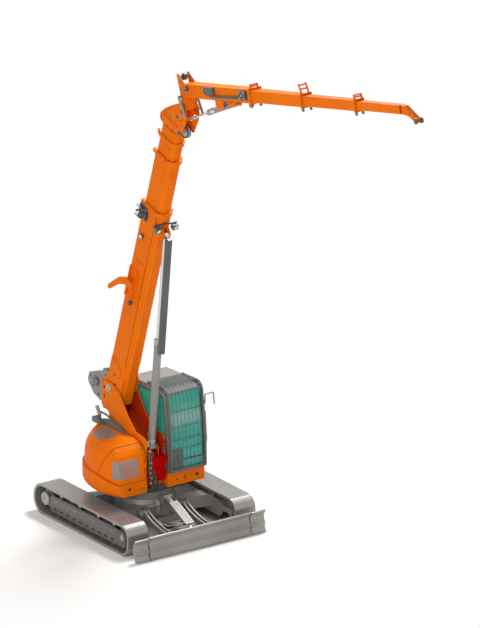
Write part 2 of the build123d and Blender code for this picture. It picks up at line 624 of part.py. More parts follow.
with BuildPart() as counterweight:
    with BuildSketch(level(HOOD_FLOOR - 10)):
        with BuildLine():
            tail_outline(TAIL_RADIUS, DECK_FRONT, HOOD_INNER, [(-800, HOOD_INNER)])
        make_face()
        with BuildLine():
            tail_outline(TAIL_RADIUS - WEIGHT_THICK, DECK_FRONT - WEIGHT_THICK, HOOD_INNER - PANEL,
                         [(-820, -520), (-690, HOOD_INNER - PANEL)])
        make_face(mode=Mode.SUBTRACT)
        with BuildLine():
            RadiusArc((CAB_REAR - 15, -(TAIL_RADIUS ** 2 - (CAB_REAR - 15) ** 2) ** 0.5),
                      (CAB_REAR - 15, (TAIL_RADIUS ** 2 - (CAB_REAR - 15) ** 2) ** 0.5), TAIL_RADIUS)
            Line((CAB_REAR - 15, (TAIL_RADIUS ** 2 - (CAB_REAR - 15) ** 2) ** 0.5),
                 (CAB_REAR - 15, -(TAIL_RADIUS ** 2 - (CAB_REAR - 15) ** 2) ** 0.5))
        make_face()
    extrude(amount=500)
    turned_round(WEIGHT_ROUND, HOOD_FLOOR, 1200, Mode.INTERSECT)
    slab([(-1400, 700), (700, 700), *reversed(LEDGE)], -TAIL_RADIUS - 50, TAIL_RADIUS + 50, mode=Mode.INTERSECT)
    extrude(deck_plan(6), amount=DECK_THICK, mode=Mode.SUBTRACT)
finish(counterweight, "counterweight", ORANGE)

LOUVRE = 5.0            # how far a louvre stands out
LOUVRE_PITCH = 34.0
TOP_LOUVRE = [(-0.514e3, -0.823e3), (-0.600e3, -0.450e3), (-0.040e3, -0.530e3), (-0.110e3, -0.940e3)]

with BuildPart() as louvre_sheet:
    add(hood_form(-LOUVRE, 0))
    add(hood_form(0, 50), mode=Mode.SUBTRACT)

with BuildPart() as front_louvre:
    add(louvre_sheet.part)
    block((300, 700), (-1010, -520), (1130, 1460), mode=Mode.INTERSECT)
    for n in range(8):
        z = 1165 + n * LOUVRE_PITCH
        block((300, 700), (-930, -545), (z, z + 12), mode=Mode.SUBTRACT)
finish(front_louvre, "front_louvre", GREY)

with BuildPart() as top_louvre:
    with BuildSketch(level(1500)):
        with BuildLine():
            Polyline(*TOP_LOUVRE, close=True)
        make_face()
    extrude(amount=400)
    add(louvre_sheet.part, mode=Mode.INTERSECT)
    for n in range(10):
        x = -510 + n * 2 * LOUVRE_PITCH / 1.5
        block((x, x + 12), (-800, -560), (1500, 1900), mode=Mode.SUBTRACT)
finish(top_louvre, "top_louvre", GREY)

with BuildPart() as hose_cover:
    block((-690, -60), (-400, -324), (HOOD_TOP, HOOD_TOP + 80))
    block((-985, CAB_REAR - 30), (-330, 90), (WEIGHT_TOP, HOOD_TOP + 80))
finish(hose_cover, "hose_cover", DARK)

with BuildPart() as engine:
    block(*ENGINE)
finish(engine, "engine", DARK)

with BuildPart() as exhaust:
    with BuildLine(Plane(origin=(SLEW_X + EXHAUST[0], EXHAUST[1], WEIGHT_TOP), x_dir=(1, 0, 0), z_dir=(0, -1, 0))):
        FilletPolyline((0, 0), (0, 700), (-90, 850), radius=90)
    with BuildSketch(Plane(origin=(SLEW_X + EXHAUST[0], EXHAUST[1], WEIGHT_TOP))):
        Circle(EXHAUST_RADIUS)
        Circle(EXHAUST_RADIUS - 5, mode=Mode.SUBTRACT)
    sweep()
finish(exhaust, "exhaust", GREY)

# Cab: hollow shell with cut windows, glass, guards, a door and its inside
CAB_PROFILE = [
    (CAB_REAR, CAB_FLOOR), (620, CAB_FLOOR), (615, 1500), (590, 1900), (500, 2545), (420, 2595), (-100, CAB_ROOF),
    (-650, 2575), (-810, 2480), (CAB_REAR, 2330),
]
PANE_INSET = 12.0
FRONT_PANE = ((430, 700), (CAB_RIGHT + 55, CAB_LEFT - 55), (1260, 2470))
LOWER_PANE = ((430, 700), (CAB_RIGHT + 300, CAB_LEFT - 55), (1085, 1225))
ROOF_PANE = ((-50, 370), (CAB_RIGHT + 70, CAB_LEFT - 70), (2500, 2700))
REAR_PANE = ((-900, -700), (CAB_RIGHT + 70, CAB_LEFT - 70), (1650, 2290))
RIGHT_PANE = [(-760, 1500), (-760, 2330), (-640, 2490), (420, 2490), (505, 1900), (530, 1300), (100, 1300), (-60, 1500)]
LEFT_PANE = [(-760, 1500), (-760, 2330), (-640, 2490), (-400, 2490), (-400, 1500)]
DOOR = [(-330, 1075), (-330, 2500), (425, 2500), (520, 1890), (545, 1500), (545, 1075)]
DOOR_PANES = [
    [(-260, 1500), (-260, 2430), (370, 2430), (455, 1880), (478, 1500)],
    [(0, 1140), (0, 1430), (480, 1430), (480, 1140)],
]
DOOR_HINGE = (-326.0, CAB_LEFT + 14.0)
DOOR_KNUCKLES = (1180, 1780, 2340)
cab_windows = [(RIGHT_PANE, CAB_RIGHT), (LEFT_PANE, CAB_LEFT - CAB_WALL)]

with BuildPart() as cab_shell:
    slab(CAB_PROFILE, CAB_RIGHT, CAB_LEFT)
    with BuildSketch(side(CAB_LEFT - CAB_WALL)) as inside:
        with BuildLine():
            Polyline(*CAB_PROFILE, close=True)
        make_face()
        offset(amount=-CAB_WALL, kind=Kind.INTERSECTION)
    extrude(inside.sketch, amount=CAB_LEFT - CAB_RIGHT - 2 * CAB_WALL, mode=Mode.SUBTRACT)
    for x_range, y_range, z_range in (FRONT_PANE, LOWER_PANE, ROOF_PANE, REAR_PANE):
        block(x_range, y_range, z_range, mode=Mode.SUBTRACT)
    for outline, y in cab_windows:
        slab(outline, y - 1, y + CAB_WALL + 1, mode=Mode.SUBTRACT)
    slab(DOOR, CAB_LEFT - CAB_WALL - 1, CAB_LEFT + 1, mode=Mode.SUBTRACT)
    for z in DOOR_KNUCKLES:
        hinge_fixed(DOOR_HINGE, z, (DOOR_HINGE[0] - 26, DOOR_HINGE[0]), (CAB_LEFT - 2, DOOR_HINGE[1] + 2))
finish(cab_shell, "cab_shell", GREY)


def pane_sheet(window):
    """Pane that follows the cab's profile inside one window."""
    with BuildPart() as pane:
        with BuildSketch(side(CAB_LEFT)) as face:
            with BuildLine():
                Polyline(*CAB_PROFILE, close=True)
            make_face()
            offset(amount=-PANE_INSET, kind=Kind.INTERSECTION)
            offset(amount=-GLASS, kind=Kind.INTERSECTION, mode=Mode.SUBTRACT)
        extrude(face.sketch, amount=CAB_LEFT - CAB_RIGHT)
        block(*window, mode=Mode.INTERSECT)
    return pane.part


with BuildPart() as cab_glass:
    for window in (FRONT_PANE, LOWER_PANE, ROOF_PANE, REAR_PANE):
        add(pane_sheet(window))
    slab(RIGHT_PANE, CAB_RIGHT + PANE_INSET, CAB_RIGHT + PANE_INSET + GLASS)
    slab(LEFT_PANE, CAB_LEFT - PANE_INSET - GLASS, CAB_LEFT - PANE_INSET)
finish(cab_glass, "cab_glass", TEAL)

with BuildPart() as cab_door:
    with BuildSketch(side(CAB_LEFT)) as face:
        with BuildLine():
            Polyline(*DOOR, close=True)
        make_face()
        offset(amount=-SEAM, kind=Kind.INTERSECTION)
    extrude(face.sketch, amount=CAB_WALL)
    for outline in DOOR_PANES:
        slab(outline, CAB_LEFT - CAB_WALL - 1, CAB_LEFT + 1, mode=Mode.SUBTRACT)
    for z in DOOR_KNUCKLES:
        hinge_moving(DOOR_HINGE, z, (DOOR_HINGE[0] + 4, -290), (CAB_LEFT - 2, DOOR_HINGE[1] + 2))
finish(cab_door, "cab_door", GREY)

with BuildPart() as door_glass:
    for outline in DOOR_PANES:
        slab(outline, CAB_LEFT - PANE_INSET - GLASS, CAB_LEFT - PANE_INSET)
finish(door_glass, "cab_door_glass", TEAL)

GUARD_GAP = 45.0
GUARD_BAR = 14.0
FRONT_BARS = 9
CROSS_BARS = (1075, 1480, 1830, 2080, 2490)
FRONT_LINE = [(620, 1060), (615, 1500), (590, 1900), (506, 2500)]

GUARD_LOW, GUARD_HIGH = CAB_RIGHT + 10, CAB_LEFT - 10
ROOF_BARS = 9


def front_x(z):
    """Cab's front face at a height, from its profile."""
    for (x0, z0), (x1, z1) in zip(CAB_PROFILE[1:], CAB_PROFILE[2:]):
        if z0 <= z <= z1:
            return x0 + (x1 - x0) * (z - z0) / (z1 - z0)
    return CAB_PROFILE[4][0]


with BuildPart() as cab_guard:
    line = [(x + GUARD_GAP, z) for x, z in FRONT_LINE]
    band = line + [(x - GUARD_BAR, z) for x, z in reversed(line)]
    for n in range(FRONT_BARS):
        y = GUARD_LOW + GUARD_BAR / 2 + n * (GUARD_HIGH - GUARD_LOW - GUARD_BAR) / (FRONT_BARS - 1)
        slab(band, y - GUARD_BAR / 2, y + GUARD_BAR / 2)
    for z in CROSS_BARS:
        x = front_x(z) + GUARD_GAP
        block((x - GUARD_BAR - 6, x - 6), (GUARD_LOW, GUARD_HIGH), (z - 9, z + 9))
    for z in (CROSS_BARS[0], CROSS_BARS[-1]):
        for y in (GUARD_LOW, GUARD_HIGH - 30):
            low, high = front_x(z - 14), front_x(z + 14)
            reach = GUARD_GAP - GUARD_BAR
            slab([(low, z - 14), (low + reach, z - 14), (high + reach, z + 14), (high, z + 14)], y, y + 30)
    for n in range(ROOF_BARS):
        x = -60 + n * 55
        z = CAB_ROOF + 32
        block((x, x + 16), (GUARD_LOW, GUARD_HIGH), (z, z + GUARD_BAR))
    for y in (GUARD_LOW, GUARD_HIGH - 22):
        slab([(-100, CAB_ROOF), (-100, CAB_ROOF + 40), (430, CAB_ROOF + 40), (530, 2560), CAB_PROFILE[4], CAB_PROFILE[5]],
             y, y + 22)
finish(cab_guard, "cab_guard", GREY)

with BuildPart() as cab_base:
    block((CAB_REAR, 590), (PLATE_HIGH + 6, CAB_LEFT - 10), (DECK_TOP, CAB_FLOOR))
    block((DECK_FRONT - DECK_SETBACK / 2 + 6, 590), (PLATE_HIGH + 6, CAB_LEFT - 10), (HOOD_FLOOR, DECK_TOP))
finish(cab_base, "cab_base", ORANGE)

SEAT = (-560.0, 520.0)  # seat's rear and its middle plane

with BuildPart() as cab_seat:
    with BuildSketch(side(SEAT[1] + 250)) as face:
        with BuildLine():
            Polyline((SEAT[0], 1500), (SEAT[0] + 520, 1520), (SEAT[0] + 520, 1400), (SEAT[0] + 60, 1380),
                     close=True)
        make_face()
        with BuildLine():
            Polyline((SEAT[0], 1500), (SEAT[0] - 120, 2120), (SEAT[0], 2130), (SEAT[0] + 110, 1500), close=True)
        make_face()
    extrude(face.sketch, amount=500)
finish(cab_seat, "cab_seat", DARK)

with BuildPart() as seat_stand:
    slab([(SEAT[0] + 60, CAB_FLOOR + CAB_WALL), (SEAT[0] + 520, CAB_FLOOR + CAB_WALL), (SEAT[0] + 520, 1400),
          (SEAT[0] + 60, 1380)], SEAT[1] - 200, SEAT[1] + 200)
    block((SEAT[0] + 150, SEAT[0] + 560), (SEAT[1] + 270, SEAT[1] + 370), (CAB_FLOOR + CAB_WALL, 1620))
    block((SEAT[0] + 150, SEAT[0] + 560), (SEAT[1] - 350, SEAT[1] - 270), (CAB_FLOOR + CAB_WALL, 1620))
    for y in (SEAT[1] - 310, SEAT[1] + 320):
        upright((SEAT[0] + 480, y), 12, 1610, 1780)
        upright((SEAT[0] + 480, y), 24, 1780, 1860)
finish(seat_stand, "seat_stand", DARK)

with BuildPart() as cab_levers:
    block((300, 460), (360, 700), (CAB_FLOOR + CAB_WALL, 1130))
    for y in (480, 580):
        upright((380, y), 11, 1120, 1640)
        upright((380, y), 20, 1560, 1700)
finish(cab_levers, "cab_levers", DARK)

RAIL_RADIUS = 13.0
RAILS = [
    ([(585, CAB_LEFT, 1490), (585, CAB_LEFT + 45, 1490), (530, CAB_LEFT + 45, 2080), (530, CAB_LEFT, 2080)], 32.0),
    ([(508, CAB_LEFT, 2200), (508, CAB_LEFT + 60, 2200), (508, CAB_LEFT + 60, 2385), (508, CAB_LEFT + 245, 2385),
      (508, CAB_LEFT + 270, 2150)], 20.0),
]

with BuildPart() as handrails:
    for points, bend in RAILS:
        shifted = [(SLEW_X + x, y, z) for x, y, z in points]
        with BuildLine() as path:
            FilletPolyline(*shifted, radius=bend)
        with BuildSketch(Plane(origin=shifted[0], z_dir=(0, 1, 0))) as face:
            Circle(RAIL_RADIUS)
        sweep(face.sketch, path=path.wires()[0])
finish(handrails, "handrails", GREY)

with BuildPart() as front_bracket:
    with BuildSketch(across(500)) as face:
        with BuildLine():
            Polyline((-215, 1420), (110, 1420), (110, 1330), (50, 950), (-110, 950), (-215, 1240), close=True)
        make_face()
    extrude(face.sketch, amount=90)
finish(front_bracket, "front_bracket", RED)

# Boom: three nested sections with end collars, foot plates, and the head that carries the fly jib
boom_side = turned(PIVOT, BOOM_ANGLE)
BOOM_GAP = 10.0         # upper face of a section below the one round it, with the wall


def boom_cross(s):
    """Plane across the boom at s: local x along y, local y towards the upper side."""
    base = boom_side(BOOM_Y)
    return Plane(origin=base.from_local_coords(Vector(s, 0, 0)), x_dir=(0, 1, 0), z_dir=base.x_dir)


def boom_face(index, s, grow):
    """Six-sided face of a boom section at s, its lower corners bevelled, grown by grow all round."""
    _, width, depth, bevel, _, _ = BOOM_SECTIONS[index]
    top = BOOM_UPPER - index * (BOOM_WALL + BOOM_GAP)
    half, high, low = width / 2 + grow, top + grow, top - depth - grow
    cut = bevel + 0.586 * grow
    with BuildSketch(boom_cross(s)) as face:
        with BuildLine():
            Polyline((half, high), (-half, high), (-half, low + cut), (-half + cut, low), (half - cut, low),
                     (half, low + cut), close=True)
        make_face()
    return face.sketch


def boom_tube(index, start, end, grow, hole):
    """Length of boom section index, grown by grow, hollowed by the outline grown by hole."""
    extrude(boom_face(index, start, grow), amount=end - start)
    extrude(boom_face(index, start - 1, hole), amount=end - start + 2, mode=Mode.SUBTRACT)


def boom_collar(index, end):
    """End collar of a section: a band outside it, with a pad ring inside that guides the next one."""
    extrude(boom_face(index, end - COLLAR_LENGTH, COLLAR), amount=COLLAR_LENGTH)
    extrude(boom_face(index + 1, end - COLLAR_LENGTH - 1, FIT), amount=COLLAR_LENGTH + 2, mode=Mode.SUBTRACT)
    half, top = BOOM_SECTIONS[index][1] / 2, BOOM_UPPER - index * (BOOM_WALL + BOOM_GAP)
    for edge in (-1, 1):
        sides = sorted((BOOM_Y + edge * (half - 30), BOOM_Y + edge * (half + COLLAR)))
        slab([(end - COLLAR_LENGTH, top + COLLAR - 1), (end, top + COLLAR - 1), (end, top + 60), (end - 45, top + 70)],
             *sides, frame=boom_side)


def boom_heel(index, start):
    """Pad ring round a section's inner end, sliding inside the next section out."""
    extrude(boom_face(index, start, BOOM_WALL - 1), amount=COLLAR_LENGTH)
    extrude(boom_face(index, start - 1, -BOOM_WALL), amount=COLLAR_LENGTH + 2, mode=Mode.SUBTRACT)


BOOM_FOOT = [(-200, 60), (-150, -140), (60, -330), (340, -335), (381, -283), (603, -51), (650, 134), (200, 134),
             (60, 240), (-120, 240), (-200, 160)]
EYE_S, EYE_W = DERRICK_EYE
EYE_GAP = DERRICK_ROD_RADIUS + PIN_GAP

with BuildPart() as boom_base:
    _, width, depth, _, start, end = BOOM_SECTIONS[0]
    boom_tube(0, start, end, 0, -BOOM_WALL)
    boom_collar(0, end)
    for edge in (-1, 1):
        inner = BOOM_Y + edge * width / 2
        slab(BOOM_FOOT, *sorted((inner, inner + edge * 12)), frame=boom_side)
    bar((0, 0), PIVOT_PIN_RADIUS + 25, BOOM_Y - width / 2, BOOM_Y + width / 2, frame=boom_side)
    bar((0, 0), PIVOT_PIN_RADIUS, PLATE_LOW - 15, PLATE_HIGH + 2, frame=boom_side)
    for edge in (-1, 1):
        inner = BOOM_Y + edge * EYE_GAP
        slab([(EYE_S - 190, BOOM_UPPER - depth + 2), (EYE_S + 170, BOOM_UPPER - depth + 2), (EYE_S + 60, EYE_W - 48),
              (EYE_S - 60, EYE_W - 48)], *sorted((inner, inner + edge * 26)), frame=boom_side)
        bar((EYE_S, EYE_W), 42, *sorted((inner + edge * 26, inner + edge * 44)), frame=boom_side)
finish(boom_base, "boom_base", ORANGE)

BOOM_RIGHT = BOOM_Y - BOOM_SECTIONS[0][1] / 2
STOW_PLATE = [(1960, -275), (1960, 100), (2780, 100), (2905, 60), (2905, -275)]
STOW_ARM = [(2450, -95), (2450, 120), (2330, 300), (2010, 545), (1925, 545), (1925, 500), (2190, 270), (2300, 100),
            (2300, -95)]

with BuildPart() as stow_bracket:
    slab(STOW_PLATE, BOOM_RIGHT - 8, BOOM_RIGHT, frame=boom_side)
    for w in (-110, 88):
        slab([(2060, w), (2740, w), (2740, w + 12), (2060, w + 12)], BOOM_RIGHT - 60, BOOM_RIGHT, frame=boom_side)
    slab(STOW_ARM, BOOM_RIGHT - 100, BOOM_RIGHT - 60, frame=boom_side)
    slab([(2300, -95), (2450, -95), (2450, 88), (2300, 88)], BOOM_RIGHT - 60, BOOM_RIGHT - 8, frame=boom_side)
finish(stow_bracket, "stow_bracket", ORANGE)

LAMP_S = 3850.0
LAMP_W = BOOM_UPPER - BOOM_SECTIONS[0][2]
LAMPS = (BOOM_Y - 190, BOOM_Y + 190)

with BuildPart() as boom_fittings:
    bar((1997, -95), 42, BOOM_RIGHT - 70, BOOM_RIGHT - 8, frame=boom_side)
    slab([(3905, LAMP_W), (3935, LAMP_W), (3935, LAMP_W - 40), (3905, LAMP_W - 40)], LAMPS[0] - 60, LAMPS[1] + 60,
         frame=boom_side)
    slab([(3780, -60), (3780, 215), (4070, 215), (4070, 20), (3960, -60)], BOOM_RIGHT - 14, BOOM_RIGHT, frame=boom_side)
    for s in (3800, 4000):
        slab([(s, 60), (s, 240), (s + 16, 240), (s + 16, 60)], BOOM_RIGHT - 90, BOOM_RIGHT - 14, frame=boom_side)
    bar((3908, 190), 20, BOOM_RIGHT - 100, BOOM_RIGHT - 14, frame=boom_side)
finish(boom_fittings, "boom_fittings", DARK)

with BuildPart() as work_lamps:
    for y in LAMPS:
        slab([(LAMP_S - 45, LAMP_W - 20), (LAMP_S + 55, LAMP_W - 20), (LAMP_S + 55, LAMP_W - 100),
              (LAMP_S - 45, LAMP_W - 115)], y - 55, y + 55, frame=boom_side)
    bar((3438, -14), 48, BOOM_RIGHT - 40, BOOM_RIGHT, frame=boom_side)
finish(work_lamps, "work_lamps", TEAL)

with BuildPart() as boom_section_2:
    _, width, depth, _, start, end = BOOM_SECTIONS[1]
    boom_tube(1, start, end, 0, -BOOM_WALL)
    boom_collar(1, end)
    boom_heel(1, start)
finish(boom_section_2, "boom_section_2", ORANGE)

HEAD_PLATE = [(5640, 100), (5790, 235), (6020, 240), (6250, 100), (6400, -60), (6600, -330), (6600, -440),
              (6480, -520), (6300, -540), (6150, -470), (5950, -400), (5640, -330)]
HEAD_HALF = 133.0
HEAD_THICK = 18.0
JIB_EYE_HALF = 30.0     # half the width of the jib cylinder's rod eye
HEAD_SHEAVE = (6020.0, -430.0, 115.0)

with BuildPart() as boom_section_3:
    _, width, depth, _, start, end = BOOM_SECTIONS[2]
    boom_tube(2, start, end, 0, -BOOM_WALL)
    boom_heel(2, start)
    extrude(boom_face(2, 5640, 22), amount=60)
    extrude(boom_face(2, 5639, -BOOM_WALL), amount=62, mode=Mode.SUBTRACT)
    for edge in (-1, 1):
        inner = BOOM_Y + edge * HEAD_HALF
        slab(HEAD_PLATE, *sorted((inner, inner + edge * HEAD_THICK)), frame=boom_side)
    slab([(5790, 219), (5790, 235), (6020, 240), (6250, 100), (6400, -60), (6388, -70), (6238, 88), (6014, 224)],
         BOOM_Y - HEAD_HALF, BOOM_Y + HEAD_HALF, frame=boom_side)
    bar(JIB_PIN, 35, BOOM_Y - HEAD_HALF - 50, BOOM_Y + HEAD_HALF + 50, frame=boom_side)
    for edge in (-1, 1):
        ends = sorted((BOOM_Y + edge * (JIB_EYE_HALF + PIN_GAP), BOOM_Y + edge * (HEAD_HALF + 30)))
        bar(JIB_ROD_EYE, 26, *ends, frame=boom_side)
    bar(HEAD_SHEAVE[:2], 25, BOOM_Y - HEAD_HALF - 30, BOOM_Y + HEAD_HALF + 30, frame=boom_side)
finish(boom_section_3, "boom_section_3", ORANGE)

with BuildPart() as head_sheave:
    bar(HEAD_SHEAVE[:2], HEAD_SHEAVE[2], BOOM_Y - 32, BOOM_Y + 32, frame=boom_side)
    bar(HEAD_SHEAVE[:2], 25 + FIT, BOOM_Y - 40, BOOM_Y + 40, frame=boom_side, mode=Mode.SUBTRACT)
finish(head_sheave, "head_sheave", GREY)

# Winch on the upper side of the boom's foot
WINCH = (-150.0, 430.0)
WINCH_HALF = 150.0
WINCH_DRUM = 105.0
WINCH_FLANGE = 165.0

with BuildPart() as winch_frame:
    for edge in (-1, 1):
        inner = BOOM_Y + edge * WINCH_HALF
        slab([(-330, BOOM_UPPER), (230, BOOM_UPPER), (60, 520), (-40, 630), (-260, 630), (-340, 520)],
             *sorted((inner, inner + edge * 14)), frame=boom_side)
    slab([(150, BOOM_UPPER), (200, BOOM_UPPER), (200, 160), (150, 160)], BOOM_Y - WINCH_HALF, BOOM_Y + WINCH_HALF,
         frame=boom_side)
    bar(WINCH, 40, BOOM_Y - WINCH_HALF - 14, BOOM_Y + WINCH_HALF + 14, frame=boom_side)
finish(winch_frame, "winch_frame", GREY)

with BuildPart() as winch_drum:
    bar(WINCH, WINCH_DRUM, BOOM_Y - WINCH_HALF + 8, BOOM_Y + WINCH_HALF - 8, frame=boom_side)
    for edge in (-1, 1):
        outer = BOOM_Y + edge * (WINCH_HALF - 8)
        bar(WINCH, WINCH_FLANGE, *sorted((outer, outer - edge * 12)), frame=boom_side)
    bar(WINCH, 40 + FIT, BOOM_Y - WINCH_HALF, BOOM_Y + WINCH_HALF, frame=boom_side, mode=Mode.SUBTRACT)
finish(winch_drum, "winch_drum", DARK)

# Derrick cylinder between the pedestal and the boom, with the guard channel on its rod
derrick_eye = placed(PIVOT, BOOM_ANGLE, DERRICK_EYE)
derrick_line = turned(DERRICK_FOOT, slope(DERRICK_FOOT, derrick_eye))
derrick_reach = distance(DERRICK_FOOT, derrick_eye)

with BuildPart() as derrick_barrel:
    bar((0, 0), DERRICK_BARREL_RADIUS - 4, BOOM_Y - DERRICK_BARREL_RADIUS - 3, BOOM_Y + DERRICK_BARREL_RADIUS + 3,
        frame=derrick_line)
    rod_along(derrick_line, DERRICK_BARREL_RADIUS, 40, DERRICK_BARREL_LENGTH, BOOM_Y)
    rod_along(derrick_line, DERRICK_ROD_RADIUS + FIT, 120, DERRICK_BARREL_LENGTH + 1, BOOM_Y, mode=Mode.SUBTRACT)
    bar((0, 0), 38 + FIT, BOOM_Y - 100, BOOM_Y + 100, frame=derrick_line, mode=Mode.SUBTRACT)
finish(derrick_barrel, "derrick_barrel", GREY)

with BuildPart() as derrick_rod:
    rod_along(derrick_line, DERRICK_ROD_RADIUS, 1800, derrick_reach - 30, BOOM_Y)
    bar((derrick_reach, 0), 56, BOOM_Y - 38, BOOM_Y + 38, frame=derrick_line)
    bar((derrick_reach, 0), 34, BOOM_Y - DERRICK_ROD_RADIUS, BOOM_Y + DERRICK_ROD_RADIUS, frame=derrick_line)
finish(derrick_rod, "derrick_rod", CHROME)

with BuildPart() as rod_guard:
    low, high = -GUARD_OFFSET - 8, -GUARD_OFFSET
    far = derrick_reach - 70
    slab([(far - GUARD_LENGTH, low), (far, low), (far, high), (far - GUARD_LENGTH, high)],
         BOOM_Y - GUARD_WIDTH / 2, BOOM_Y + GUARD_WIDTH / 2, frame=derrick_line)
    for edge in (-1, 1):
        outer = BOOM_Y + edge * GUARD_WIDTH / 2
        slab([(far - GUARD_LENGTH, low), (far, low), (far, high + 34), (far - GUARD_LENGTH, high + 34)],
             *sorted((outer, outer - edge * 8)), frame=derrick_line)
    slab([(far - 90, high), (far - 20, high), (far - 20, -DERRICK_ROD_RADIUS + 8), (far - 90, -DERRICK_ROD_RADIUS + 8)],
         BOOM_Y - 30, BOOM_Y + 30, frame=derrick_line)
    rod_along(derrick_line, DERRICK_ROD_RADIUS + FIT, far - 200, far + 100, BOOM_Y, mode=Mode.SUBTRACT)
finish(rod_guard, "derrick_rod_guard", DARK)

# Fly jib: four nested box sections, masts at its foot and a bent nose with two rollers
jib_pin = placed(PIVOT, BOOM_ANGLE, JIB_PIN)
jib_side = turned(jib_pin, JIB_ANGLE)


def jib_cross(s):
    """Plane across the jib at s."""
    base = jib_side(BOOM_Y)
    return Plane(origin=base.from_local_coords(Vector(s, JIB_MIDDLE, 0)), x_dir=(0, 1, 0), z_dir=base.x_dir)


def jib_tube(index, start, end, grow, hole):
    """Length of jib section index, grown by grow, hollowed by the outline grown by hole."""
    _, width, depth, _, _ = JIB_SECTIONS[index]
    with BuildSketch(jib_cross(start)) as face:
        Rectangle(width + 2 * grow, depth + 2 * grow)
        Rectangle(width + 2 * hole, depth + 2 * hole, mode=Mode.SUBTRACT)
    extrude(face.sketch, amount=end - start)


MAST = [(-95, 690), (-50, 700), (130, 515), (130, 265), (75, 40), (40, -45), (-35, -40), (-50, 60), (-60, 330)]
MAST_HALF = JIB_SECTIONS[0][1] / 2
JIB_COLLAR = 37.0       # outside of a jib collar from the section that it guides
JIB_GUIDES = [(10, 75), (70, 180), (20, 90)]        # lean and height of the rope guide on each collar
MAST_PLATE = 12.0
NOSE = (JIB_SECTIONS[3][4] + 450, JIB_MIDDLE - 190)
NOSE_PIN = 18.0
ROPE_ANCHOR = (JIB_SECTIONS[3][4] + 250, JIB_MIDDLE - 70)
ANCHOR_RADIUS = 16.0

for index, (name, width, depth, start, end) in enumerate(JIB_SECTIONS):
    with BuildPart() as section:
        jib_tube(index, start, end, 0, -JIB_WALL)
        if index < 3:
            jib_tube(index + 1, end - 50, end, JIB_COLLAR, FIT)
            base, lean, height = JIB_MIDDLE + JIB_SECTIONS[index + 1][2] / 2 + JIB_COLLAR - 1, *JIB_GUIDES[index]
            for edge in (-1, 1):
                outer = BOOM_Y + edge * 84
                slab([(end - 50, base), (end, base), (end - lean, base + height), (end - lean - 45, base + height)],
                     *sorted((outer, outer - edge * 10)), frame=jib_side)
            for share in (0.45, 0.85):
                bar((end - 25 - lean * share, base + height * share), 14, BOOM_Y - 80, BOOM_Y + 80, frame=jib_side)
        if index == 0:
            for edge in (-1, 1):
                inner = BOOM_Y + edge * MAST_HALF
                slab(MAST, *sorted((inner, inner - edge * MAST_PLATE)), frame=jib_side)
                foot = BOOM_Y + edge * (JIB_BARREL_RADIUS + PIN_GAP)
                slab([(1480, 266), (1680, 266), (1600, 160), (1540, 160)], *sorted((foot, foot + edge * 16)),
                     frame=jib_side)
            bar(JIB_CYLINDER_FOOT, 22, BOOM_Y - 72, BOOM_Y + 72, frame=jib_side)
            bar((0, 0), 35 + FIT, BOOM_Y - 150, BOOM_Y + 150, frame=jib_side, mode=Mode.SUBTRACT)
        if index == 3:
            slab([(end - 30, JIB_MIDDLE + 80), (end + 120, JIB_MIDDLE + 70), (end + 480, JIB_MIDDLE - 160),
                  (end + 440, JIB_MIDDLE - 230), (end + 200, JIB_MIDDLE - 110), (end - 30, JIB_MIDDLE - 80)],
                 BOOM_Y - 45, BOOM_Y + 45, frame=jib_side)
            bar(NOSE, NOSE_PIN, BOOM_Y - 80, BOOM_Y + 80, frame=jib_side)
            bar(ROPE_ANCHOR, ANCHOR_RADIUS, BOOM_Y - 50, BOOM_Y + 50, frame=jib_side, mode=Mode.SUBTRACT)
    finish(section, name, ORANGE)

JIB_RIGHT = BOOM_Y - JIB_SECTIONS[0][1] / 2
LINK_TOP, LINK_FOOT, LINK_HALF = (-12.0, 281.0), (115.0, -100.0), 187.0

with BuildPart() as jib_links:
    for edge in (-1, 1):
        near, far = BOOM_Y + edge * MAST_HALF, BOOM_Y + edge * (LINK_HALF + 16)
        slab([(LINK_TOP[0] - 28, LINK_TOP[1] - 10), (LINK_TOP[0] - 10, LINK_TOP[1] + 28), (LINK_TOP[0] + 28, LINK_TOP[1] + 10),
              (LINK_FOOT[0] + 28, LINK_FOOT[1] + 10), (LINK_FOOT[0] + 10, LINK_FOOT[1] - 28),
              (LINK_FOOT[0] - 28, LINK_FOOT[1] - 10)], *sorted((far, far - edge * 16)), frame=jib_side)
        bar(LINK_TOP, 20, *sorted((near, far)), frame=jib_side)
finish(jib_links, "jib_links", GREY)

with BuildPart() as jib_fittings:
    bar((-20, 640), 56, BOOM_Y - 28, BOOM_Y + 28, frame=jib_side)
    bar((-20, 640), 14, BOOM_Y - MAST_HALF + MAST_PLATE, BOOM_Y + MAST_HALF - MAST_PLATE, frame=jib_side)
    bar((190, 430), 46, JIB_RIGHT - 26, JIB_RIGHT, frame=jib_side)
    slab([(800, 385), (1100, 385), (1100, 505), (800, 505)], JIB_RIGHT - 60, JIB_RIGHT, frame=jib_side)
    slab([(1930, 330), (2140, 330), (2140, 490), (1930, 490)], JIB_RIGHT - 50, JIB_RIGHT, frame=jib_side)
    bar((2066, 206), 36, BOOM_Y - 32, BOOM_Y + 32, frame=jib_side)
    for edge in (-1, 1):
        slab([(2036, 265), (2096, 265), (2086, 186), (2046, 186)],
             *sorted((BOOM_Y + edge * 32, BOOM_Y + edge * 42)), frame=jib_side)
finish(jib_fittings, "jib_fittings", DARK)

with BuildPart() as nose_rollers:
    for y in (-62, 62):
        bar(NOSE, 55, BOOM_Y + y - 12, BOOM_Y + y + 12, frame=jib_side)
        bar(NOSE, NOSE_PIN + FIT, BOOM_Y + y - 13, BOOM_Y + y + 13, frame=jib_side, mode=Mode.SUBTRACT)
finish(nose_rollers, "nose_rollers", DARK)

